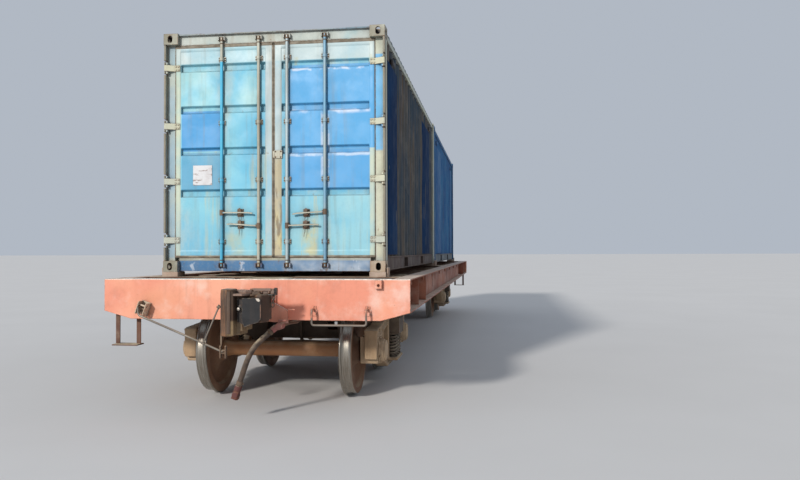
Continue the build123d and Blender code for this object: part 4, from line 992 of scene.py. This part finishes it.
SIDE_WAVE = wave(178, 5880, 72, 68, 70, 34)
END_WAVE = wave(-1125, 1125, 110, 18, 104, 40)
for which in ("front", "rear"):
    T = box_at(which)
    paint = M["wall_front"] if which == "front" else M["box_rear"]
    for sx, side in ((1, "right"), (-1, "left")):
        w = wall(T, lambda a, t, z, sx=sx: (sx * (1189 - t), a, z), SIDE_WAVE, 17, 160, 2502, 3.0 + sx + (9 if which == "rear" else 0), 8.0)
        piece(f"{which}_side_wall_{side}", w, "frame", paint, sharp=60, replaces=(f"box_{which}_walls",))
    w = wall(T, lambda a, t, z: (a, 6028 - t, z), END_WAVE, 8, 148, 2475, 5.5, 6.0)
    piece(f"{which}_end_wall", w, "frame", paint, sharp=60, replaces=(f"box_{which}_walls",))
    # flat marking panels let into the side sheets, bare of any marking
    s = Solid(T)
    for sx in (1, -1):
        for y0, y1 in ((404, 1136), (4108, 5392)):
            s.prism([(sx * 1186, y0 - 10), (sx * 1191.5, y0), (sx * 1191.5, y1), (sx * 1186, y1 + 10), (sx * 1150, y1 + 10), (sx * 1150, y0 - 10)], "z", 178, 2322)
    piece(f"{which}_marking_panels", s, "frame", M["panel_front"] if which == "front" else M["box_rear"], bevel=2)
    # vents near the top of both sides
    s = Solid(T)
    for sx in (1, -1):
        for yc in (770, 5288):
            s.prism([(sx * 1188, 2338), (sx * 1209, 2346), (sx * 1209, 2396), (sx * 1188, 2412)], "y", yc - 105, yc + 105)
            for k in range(9):
                s.box(sx * 1208, sx * 1210.5, yc - 92 + k * 21, yc - 82 + k * 21, 2350, 2358)
    piece(f"{which}_vents", s, "frame", paint, bevel=2)
    # roof sheet
    top = wave(178, 5880, 90, 14, 91, 14)
    o, i = sheet_lines(top, 6, 4.5, 2)
    s = Solid(T)
    rings = []
    for k in range(15):
        x = -1202 + 2404 * k / 14
        crown = 5 * (1 - (x / 1202) ** 2)
        r = []
        for q in (o, list(reversed(i))):
            for a, t in q:
                calm = sm(a, 178, 400) * (1 - sm(a, 5600, 5880)) * (1 - abs(x / 1202) ** 3)
                d = calm * 10 * (noise.noise(Vector((a * 0.0013, x * 0.0016, 4.2))))
                r.append((x, a, 2584 - 2 - t + min(d, 4) - 3 + crown * 0.6))
        rings.append(r)
    s.loft(rings)
    for sx in (1, -1):
        s.box(sx * 1150, sx * 1202, 178, 5880, 2556, 2568)
    for y0, y1 in ((22, 182), (5876, 6036)):
        s.box(-1055, 1055, y0, y1, 2571, 2581)
        s.box(-1057, -800, y0 + 6, y1 + 60 if y0 < 100 else y1 - 6, 2580, 2586)
        s.box(800, 1057, y0 + 6, y1 + 60 if y0 < 100 else y1 - 6, 2580, 2586)
    piece(f"{which}_roof_sheet", s, "frame", M["roof"], sharp=50, replaces=(f"box_{which}_roof",))
    # weld seams, lip and small fittings on the box frame
    s = Solid(T)
    rnd = random.Random(5)

    def weld(p, q, r=4.0, step=9.0):
        p, q = Vector(p), Vector(q)
        n = max(2, int((q - p).length / step))
        pts = [p.lerp(q, k / n) + Vector((rnd.uniform(-0.8, 0.8), rnd.uniform(-0.4, 0.4), rnd.uniform(-0.8, 0.8))) for k in range(n + 1)]
        s.tube(pts, r, 6)
    for sx in (1, -1):
        for z in (118, 2473):
            weld((sx * 1112, 60, z), (sx * 1213, 60, z))
            weld((sx * 1215, 64, z), (sx * 1215, 176, z))
        weld((sx * 1057, 54, 12), (sx * 1057, 54, 112))
        weld((sx * 1057, 54, 2478), (sx * 1057, 54, 2570))
    # door header lip and drip channel
    s.prism([(44, 2566), (54, 2566), (54, 2580), (40, 2580)], "x", -1054, 1054)
    s.prism([(46, 2468), (54, 2466), (54, 2474), (46, 2474)], "x", -1054, 1054)
    piece(f"{which}_box_welds", s, "frame", M["frame_front"] if which == "front" else M["box_rear"], sharp=50)

    # outer web of the bottom rails between the fork pockets, with a lip at each pocket and stiffeners behind
    s = Solid(T)
    for sx in (1, -1):
        for y0, y1 in ((180, 1822), (2186, 3872), (4236, 5878)):
            s.box(sx * 1182, sx * 1189, y0, y1, 17, 151)
            n = 5
            for k in range(n):
                y = y0 + 90 + (y1 - y0 - 180) * k / (n - 1)
                s.box(sx * 1150, sx * 1184, y - 4, y + 4, 19, 149)
        for fy in (2004, 4054):
            for y in (fy - 182, fy + 182):
                s.box(sx * 1150, sx * 1192, y - 5, y + 5, 18, 150)
            s.box(sx * 1150, sx * 1192, fy - 182, fy + 182, 138, 151)
    piece(f"{which}_rail_webs", s, "frame", M["base"] if which == "front" else M["rear_rail"], bevel=1.5)

# ---------------------------------------------------------------- couplers
def coupler_parts(T):
    n = -7310.0
    b = Solid()
    P = b.prism
    # head, with the long guard tooth on the left, the throat, and the short tooth on the right
    P([(-143, n + 10), (-134, n), (-86, n), (-34, n + 34), (-26, n + 112), (10, n + 126), (146, n + 126), (160, n + 72), (170, n + 66), (208, n + 70), (218, n + 78),
       (276, n + 190), (178, n + 300), (66, n + 352), (-66, n + 352), (-143, n + 250)], "z", 978, 1190)
    P([(-143, n + 10), (-134, n), (-86, n), (-34, n + 34), (-28, n + 100), (-40, n + 170), (-143, n + 212)], "z", 838, 1254)
    P([(-134, n + 12), (-92, n + 4), (-44, n + 38), (-44, n + 120), (-128, n + 180)], "z", 832, 850)
    P([(162, n + 70), (210, n + 72), (262, n + 160), (190, n + 200)], "z", 952, 1203)
    P([(-100, n + 110), (20, n + 128), (56, n + 330), (-66, n + 340)], "z", 870, 980)
    P([(-84, n + 122), (-4, n + 134), (20, n + 300), (-50, n + 320)], "z", 834, 880)
    P([(-60, n + 96), (130, n + 112), (190, n + 160), (150, n + 300), (-40, n + 320)], "z", 1186, 1206)
    P([(-40, n + 140), (176, n + 166), (150, n + 300), (-40, n + 320)], "z", 1200, 1230)
    b.prism([(n + 6, 1252), (n + 150, 1252), (n + 190, 1190), (n + 100, 1190)], "x", -132, -40)
    b.box(-65, 65, n + 330, -6330, 1000, 1166)
    b.box(-52, 52, n + 300, -6400, 988, 1178)
    b.cyl((0, -6290, 1000), (0, -6290, 1166), 64, n=32)
    cs = cast("coupler", [b], 5.0, 3, 0.4, T)
    w = Solid(T)
    # bright worn slab on top of the head, cut off on the skew
    w.prism([(-38, n + 30), (44, n + 34), (92, n + 96), (100, n + 150), (-40, n + 150)], "z", 1196, 1216)
    w.prism([(-140, n + 16), (-44, n + 44), (-44, n + 150), (-140, n + 190)], "z", 1249, 1257)
    # carrier of the lock lifter: flat bar with an end block on the right
    w.box(72, 300, n + 196, n + 226, 1206, 1254)
    w.box(96, 270, n + 188, n + 198, 1232, 1258)
    for x in (120, 180, 250):
        w.bolt((x, n + 188, 1220), (0, -1, 0), 9, 9)
    d = Solid(T)
    # lock plate with a sloping lower edge, the pin of its holder in the throat
    d.prism([(38, 1176), (196, 1176), (211, 1166), (212, 992), (190, 958), (96, 930), (60, 914), (38, 960)], "y", n + 52, n + 126)
    d.prism([(-24, 1166), (36, 1170), (36, 930), (-24, 960)], "y", n + 108, n + 124)
    d.box(-142, -136, n + 14, n + 130, 850, 1240)
    for z in (892, 1216):
        d.rivet((-112, n + 8, z), (0, -1, 0), 11)
    d.turn([(0, 30), (4, 34), (10, 34), (12, 28)], (0, n + 112, 1076), (0, -1, 0), 24)
    e = Solid(T)
    e.turn([(0, 17), (24, 17), (32, 15), (36, 8)], (0, n + 108, 1076), (0, -1, 0), 20)
    e.prism([(164, 1174), (198, 1172), (208, 1150), (192, 1142), (176, 1152)], "y", n + 47, n + 54)
    w.prism([(206, 1120), (213, 1118), (213, 996), (206, 1000)], "y", n + 50, n + 60)
    # back of the head, level with the guard arm, and a worn rib down the guard arm's face
    w.prism([(-44, n + 118), (56, n + 112), (100, n + 150), (100, n + 204), (-44, n + 204)], "z", 1208, 1244)
    g = Solid(T)
    g.prism([(-88, n + 3), (-79, n + 1), (-56, n + 10), (-62, n + 22), (-86, n + 14)], "z", 856, 1238)
    g.prism([(-143, n + 7), (-137, n + 1.5), (-131, n + 1.5), (-132, n + 16), (-143, n + 16)], "z", 862, 1230)
    # end block of the lifter and the shaft behind it
    d.prism([(n + 190, 1196), (n + 232, 1196), (n + 238, 1252), (n + 216, 1262), (n + 188, 1254)], "x", 296, 322)
    d.cyl((160, n + 212, 1196), (306, n + 212, 1196), 15, n=18)
    d.box(150, 176, n + 180, n + 240, 1150, 1210)

    def link(s, c, u, v, rx=13, ry=24, r=4.6):
        u, v, c = Vector(u).normalized(), Vector(v).normalized(), Vector(c)
        s.tube([c + u * rx * math.cos(t) + v * ry * math.sin(t) for t in (2 * math.pi * k / 18 for k in range(18))], r, 8, closed=True)
    for x, count in ((212, 2), (222, 1), (290, 3)):
        for k in range(count):
            link(d, (x + 2 * math.sin(k * 2.0 + x), n + 184, 1182 - 37 * k), (1, 0, 0) if k % 2 == 0 else (0, 1, 0), (0.08 * (k % 2), 0, 1))
    return cs, w, d, e, g


swing = Matrix.Translation((0, -6290, 0)) @ Matrix.Rotation(math.radians(2.9), 4, "Z") @ Matrix.Translation((0, 6290, 0))
for which, T in (("front", swing), ("rear", TURN)):
    body_, worn, dark, bright, rib = coupler_parts(T)
    piece(f"coupler_{which}_casting", body_, f"coupler_{which}", M["coupler"], sharp=180, replaces=(f"coupler_{which}",))
    piece(f"coupler_{which}_top", worn, f"coupler_{which}", M["coupler_top"], bevel=4, seg=2)
    piece(f"coupler_{which}_lock", dark, f"coupler_{which}", M["lock"], bevel=4, seg=2)
    piece(f"coupler_{which}_guard_rib", rib, f"coupler_{which}", M["guard_rib"], bevel=4, seg=2)
    piece(f"coupler_{which}_lock_pin", bright, f"coupler_{which}", M["bright"], bevel=2, seg=2)

# ---------------------------------------------------------------- lugs under the handle's feet
s = Solid()
for which, T in ENDS:
    s.T = T
    for x in (612, 1140):
        s.prism([(x - 36, 974), (x + 36, 970), (x + 38, 1026), (x + 26, 1034), (x - 34, 1034)], "y", -6709, -6700.5)
        s.bolt((x + 24, -6709, 988), (0, -1, 0), 5, 8)
        s.bolt((x - 24, -6709, 990), (0, -1, 0), 5, 8)
piece("handle_lugs", s, "frame", M["salmon"], bevel=1.5)

# ---------------------------------------------------------------- uncoupling levers
s = Solid()
k = Solid()
f = Solid()
for which, T in ENDS:
    s.T = k.T = f.T = T
    y0 = -6700
    s.tube(rounded([(-1144, y0 - 96, 1052), (-1144, y0 - 96, 974), (-452, y0 - 128, 707), (-258, y0 - 130, 628)], 40, 6), 10.5, 12)
    s.tube(rounded([(-456, y0 - 129, 704), (-440, y0 - 132, 738), (-310, y0 - 126, 1036), (-300, y0 - 126, 1058)], 30, 4), 8, 10)
    s.tube([(-452 + 15 * math.cos(t), y0 - 128 + 15 * math.sin(t), 707 + 4 * math.sin(t)) for t in (2 * math.pi * q / 20 for q in range(20))], 5, 8, closed=True)
    s.tube([(-300, y0 - 126 + 16 * math.cos(t), 1062 + 20 * math.sin(t)) for t in (2 * math.pi * q / 20 for q in range(20))], 5, 8, closed=True)
    # bracket: two drilled cheeks on a back plate, all leaning over
    tilt = Matrix.Translation((-1112, 0, 1036)) @ Matrix.Rotation(math.radians(19), 4, "Y")
    k.T = T @ tilt
    hole = lambda yc, zc, r=10: [(yc + r * math.cos(2 * math.pi * q / 16), zc + r * math.sin(2 * math.pi * q / 16)) for q in range(16)]
    cheek = [(y0 - 14, -66), (y0 - 96, -66), (y0 - 108, -54), (y0 - 108, 52), (y0 - 98, 64), (y0 - 14, 64)]
    for x0, x1 in ((-46, -38), (34, 42)):
        k.prism(cheek, "x", x0, x1, [hole(y0 - 72, 30), hole(y0 - 72, -32)])
    k.box(-52, 48, y0 - 15, y0 - 7, -70, 68)
    k.box(-38, 34, y0 - 60, y0 - 14, -10, -4)
    for x, z in ((-45, 58), (41, 58), (-45, -60), (41, -60)):
        k.bolt((x * 0.55, y0 - 15, z * 0.8), (0, -1, 0), 8, 8)
    k.cyl((-52, y0 - 72, 30), (48, y0 - 72, 30), 9, n=14)
    k.T = T
    # fork that carries the lower end, and its strap up to the beam
    for x in (-284, -232):
        f.prism([(y0 - 150, 572), (y0 - 144, 566), (y0 - 116, 566), (y0 - 110, 572), (y0 - 110, 684), (y0 - 118, 690), (y0 - 142, 690), (y0 - 150, 684)], "x", x, x + 12)
    f.box(-274, -230, y0 - 142, y0 - 114, 612, 622)
    f.cyl((-290, y0 - 130, 640), (-214, y0 - 130, 640), 10, n=14)
    f.box(-284, -272, y0 - 122, y0 - 110, 680, 950)
    f.box(-284, -272, y0 - 122, y0 - 92, 938, 950)
    f.box(-316, -282, y0 - 144, y0 - 2, 1052, 1070)
piece("lever_rods", s, "frame", M["rod"], sharp=45, replaces=("uncoupling_levers",))
piece("lever_brackets", k, "frame", M["bracket"], bevel=1.5)
piece("lever_forks", f, "frame", M["fork"], bevel=1.5)

# ---------------------------------------------------------------- wheelsets
RIM = 720.0
WHEEL = [(0, 410), (0, 488), (2, 496), (7, 503), (13, 506), (18, 505.5), (24, 500), (28, 492), (33, 483), (42, 479.5), (60, 478.5), (100, 476.5), (124, 475.5), (129, 470), (130, 462), (130, 418), (126, 410),
         (108, 399), (92, 384), (80, 350), (72, 300), (66, 240), (64, 205), (76, 176), (98, 156), (120, 144), (148, 134), (150, 130), (150, 98), (-29, 98), (-30, 101), (-30, 131), (-27, 135), (4, 146), (26, 168), (38, 200), (44, 260), (48, 330), (44, 382), (30, 398), (12, 405)]


def seg_kind(k):
    a = WHEEL[k]
    b = WHEEL[(k + 1) % len(WHEEL)]
    if a[1] >= 470 and b[1] >= 470 and not (a[0] == 0 and b[0] == 0):
        return 1
    return 0


for i, (y, bogie) in enumerate(((-5625, "front"), (-3775, "front"), (3775, "rear"), (5625, "rear")), 1):
    s = Solid()
    for sx in (1, -1):
        s.ring([(RIM + a, r) for a, r in WHEEL], (0, y, 506.5), (sx, 0, 0), 96, seg_mi=[seg_kind(k) for k in range(len(WHEEL))])
    piece(f"wheels_{i}", s, f"wheelset_{i}", [M["disc"], M["tread"]], sharp=60, replaces=(f"wheelset_{i}_wheels",))
    s = Solid()
    ax = [(-1147, 50), (-1145, 65), (-926, 65), (-918, 80), (-878, 82), (-870, 97), (-690, 97), (-640, 92), (-600, 82), (600, 82), (640, 92), (690, 97), (870, 97), (878, 82), (918, 80), (926, 65), (1145, 65), (1147, 50)]
    s.turn(ax, (0, y, 506.5), (1, 0, 0), 48)
    for sx in (1, -1):
        s.turn([(690, 99), (692, 103), (704, 103), (706, 99)], (0, y, 506.5), (sx, 0, 0), 40)
    piece(f"axle_{i}", s, f"wheelset_{i}", M["axle"], sharp=40, replaces=(f"wheelset_{i}_axle",))

# ---------------------------------------------------------------- bogies: cast side frames, coil springs, axleboxes
SIDE = [(430, 845), (760, 772), (1118, 754), (1152, 716), (1152, 430), (1092, 430), (1092, 664), (758, 664), (758, 405), (690, 362), (345, 235)]
WINDOW = [(312, 728), (640, 690), (655, 660), (655, 470), (560, 405), (312, 335)]
SPRING_XY = [(-156, -84), (0, -84), (156, -84), (-156, 84), (0, 84), (156, 84)]
raw = Solid()
outline = SIDE + [(-a, b) for a, b in reversed(SIDE)]
holes = [WINDOW, [(-a, b) for a, b in reversed(WINDOW)], [(-238, 322), (238, 322), (238, 792), (-238, 792)]]
raw.prism(outline, "x", -46, 46, holes)
raw.prism(outline, "x", -70, 70, [inset(outline, 24)])
for h in holes:
    raw.prism(inset(h, -24), "x", -70, 70, [h])
raw.box(-168, 168, -237, 237, 288, 322)
for m in (1, -1):
    raw.box(-64, 64, m * 246, m * 300, 330, 780)
    raw.box(-66, 66, m * 742, m * 770, 440, 690)
    raw.box(-70, 70, m * 1092, m * 1116, 432, 720)
    raw.box(-70, 70, m * 760, m * 1110, 664, 700)
    raw.cyl((-70, m * 900, 728), (70, m * 900, 728), 20, n=20)
    raw.box(-74, 74, m * 1020, m * 1150, 716, 742)
frame_cast = cast("side_frame", [raw], 9.0, 3, 0.32)
for w, py in (("front", -4700), ("rear", 4700)):
    s = Solid()
    b = Solid()
    for sx in (1, -1):
        s.T = Matrix.Translation((sx * 1018, py, 0))
        s.add(frame_cast.v, frame_cast.f)
        s.T = IDENT
    piece(f"bogie_{w}_frames", s, f"bogie_{w}", M["frames"], sharp=180, replaces=(f"bogie_{w}_side_frames",))
    # springs: an outer and an inner coil in each place, with a cap above
    for sx, sd in ((1, "right"), (-1, "left")):
        s = Solid()
        for yy, dx in SPRING_XY:
            cx, cy = sx * 1018 + dx, py + yy
            for rad, wire, turns, hand, segs in ((57, 13, 6.5, 1, 18), (31, 8, 9, -1, 12)):
                n = int(turns * segs)
                pts = []
                for k in range(n + 1):
                    t = k / n
                    a = hand * 2 * math.pi * turns * t
                    pts.append((cx + rad * math.cos(a), cy + rad * math.sin(a), 336 + (586 - 336) * t))
                s.tube(pts, wire, 7 if wire > 10 else 5)
            s.cyl((cx, cy, 322), (cx, cy, 330), 66, n=24)
            s.cyl((cx, cy, 592), (cx, cy, 600), 66, n=24)
        piece(f"bogie_{w}_coils_{sd}", s, f"bogie_{w}", M["spring"], sharp=50, replaces=(f"bogie_{w}_springs",))
    s = Solid()
    k = Solid()
    for sx in (1, -1):
        for a in (-925, 925):
            y, z = py + a, 506.5
            s.prism([(y - 157, 664), (y - 157, 392), (y - 132, 372), (y + 132, 372), (y + 157, 392), (y + 157, 664)], "x", sx * 892, sx * 1082,
                    [[(y + 88 * math.cos(2 * math.pi * q / 28), z + 88 * math.sin(2 * math.pi * q / 28)) for q in range(28)]])
            for dy in (-120, -40, 40, 120):
                s.box(sx * 1082, sx * 1089, y + dy - 7, y + dy + 7, 400, 650)
            k.turn([(1080, 146), (1096, 146), (1099, 142), (1099, 128), (1134, 122), (1140, 116)], (0, y, z), (sx, 0, 0), 48)
            k.turn([(1138, 104), (1140, 110), (1152, 110), (1158, 102), (1160, 70), (1164, 66), (1165, 30)], (0, y, z), (sx, 0, 0), 40)
            k.ring([(884, 120), (893, 120), (893, 88), (884, 88)], (0, y, z), (sx, 0, 0), 40)
            for q in range(8):
                t = 2 * math.pi * (q + 0.5) / 8
                k.bolt((sx * 1099, y + 135 * math.cos(t), z + 135 * math.sin(t)), (sx, 0, 0), 10, 11)
            for q in range(4):
                t = 2 * math.pi * (q + 0.5) / 4
                k.bolt((sx * 1156, y + 92 * math.cos(t), z + 92 * math.sin(t)), (sx, 0, 0), 8, 9)
    piece(f"bogie_{w}_box_bodies", s, f"bogie_{w}", M["axlebox"], bevel=7, seg=3, replaces=(f"bogie_{w}_axleboxes",))
    piece(f"bogie_{w}_box_covers", k, f"bogie_{w}", M["axlebox"], bevel=1.5)

# ---------------------------------------------------------------- car frame details
s = Solid()
for which, T in ENDS:
    s.T = T
    y0 = -6700
    for sx in (-1, 1):
        for z in (960, 1040, 1120, 1200):
            s.rivet((sx * 224, y0 - 18, z), (0, -1, 0), 12)
    # the small handle over the pipe plate, and two bolts of the plate
    s.box(392, 462, y0 - 158, y0 - 146, 1040, 1048)
    for x, z in ((226, 1070), (226, 960)):
        s.bolt((x, y0 - 155, z), (0, -1, 0), 8, 8)
    for x in (612, 1140):
        for z in (1016, 1060):
            s.bolt((x, y0 - 8, z), (0, -1, 0), 6, 6)
piece("end_beam_rivets", s, "frame", M["salmon"], sharp=50)

s = Solid()
for sx in (1, -1):
    for y in range(-6200, 6201, 1240):
        # lashing eyes welded under the top flange of the side sills
        s.tube([(sx * 1500, y - 34, 1311), (sx * 1500, y - 34, 1280), (sx * 1500, y - 20, 1262), (sx * 1500, y, 1256), (sx * 1500, y + 20, 1262), (sx * 1500, y + 34, 1280), (sx * 1500, y + 34, 1311)], 8, 8)
    for y in (-3000, 0, 3000):
        s.box(sx * 1452, sx * 1456, y - 180, y + 180, 1090, 1240)
piece("lashing_eyes", s, "frame", M["sill"], sharp=50)

# ---------------------------------------------------------------- floor, light
bm = bmesh.new()
bmesh.ops.create_grid(bm, x_segments=1, y_segments=1, size=400)
me = bpy.data.meshes.new("studio_floor")
bm.to_mesh(me)
bm.free()
fm = Mat("pale_floor")
me.materials.append(fm.done(fm.mix(fm.rmp(fm.noise(0.4, 3), 0.3, 0.7), (0.62, 0.61, 0.60, 1), (0.64, 0.63, 0.62, 1)), 0.9))
floor = bpy.data.objects.new("studio_floor", me)
scene.collection.objects.link(floor)

world = bpy.data.worlds.new("studio") if scene.world is None else scene.world
scene.world = world
world.use_nodes = True
bg = world.node_tree.nodes.get("Background") or world.node_tree.nodes.new("ShaderNodeBackground")
bg.inputs["Color"].default_value = (0.80, 0.88, 1.0, 1)
bg.inputs["Strength"].default_value = 0.55


def sun(name, towards, strength, angle, colour):
    li = bpy.data.lights.new(name, "SUN")
    li.energy = strength
    li.angle = math.radians(angle)
    li.color = colour
    o = bpy.data.objects.new(name, li)
    o.rotation_euler = Vector(towards).normalized().to_track_quat("-Z", "Y").to_euler()
    scene.collection.objects.link(o)


sun("key", (0.36, 0.90, -0.43), 2.95, 6, (1.0, 0.96, 0.90))
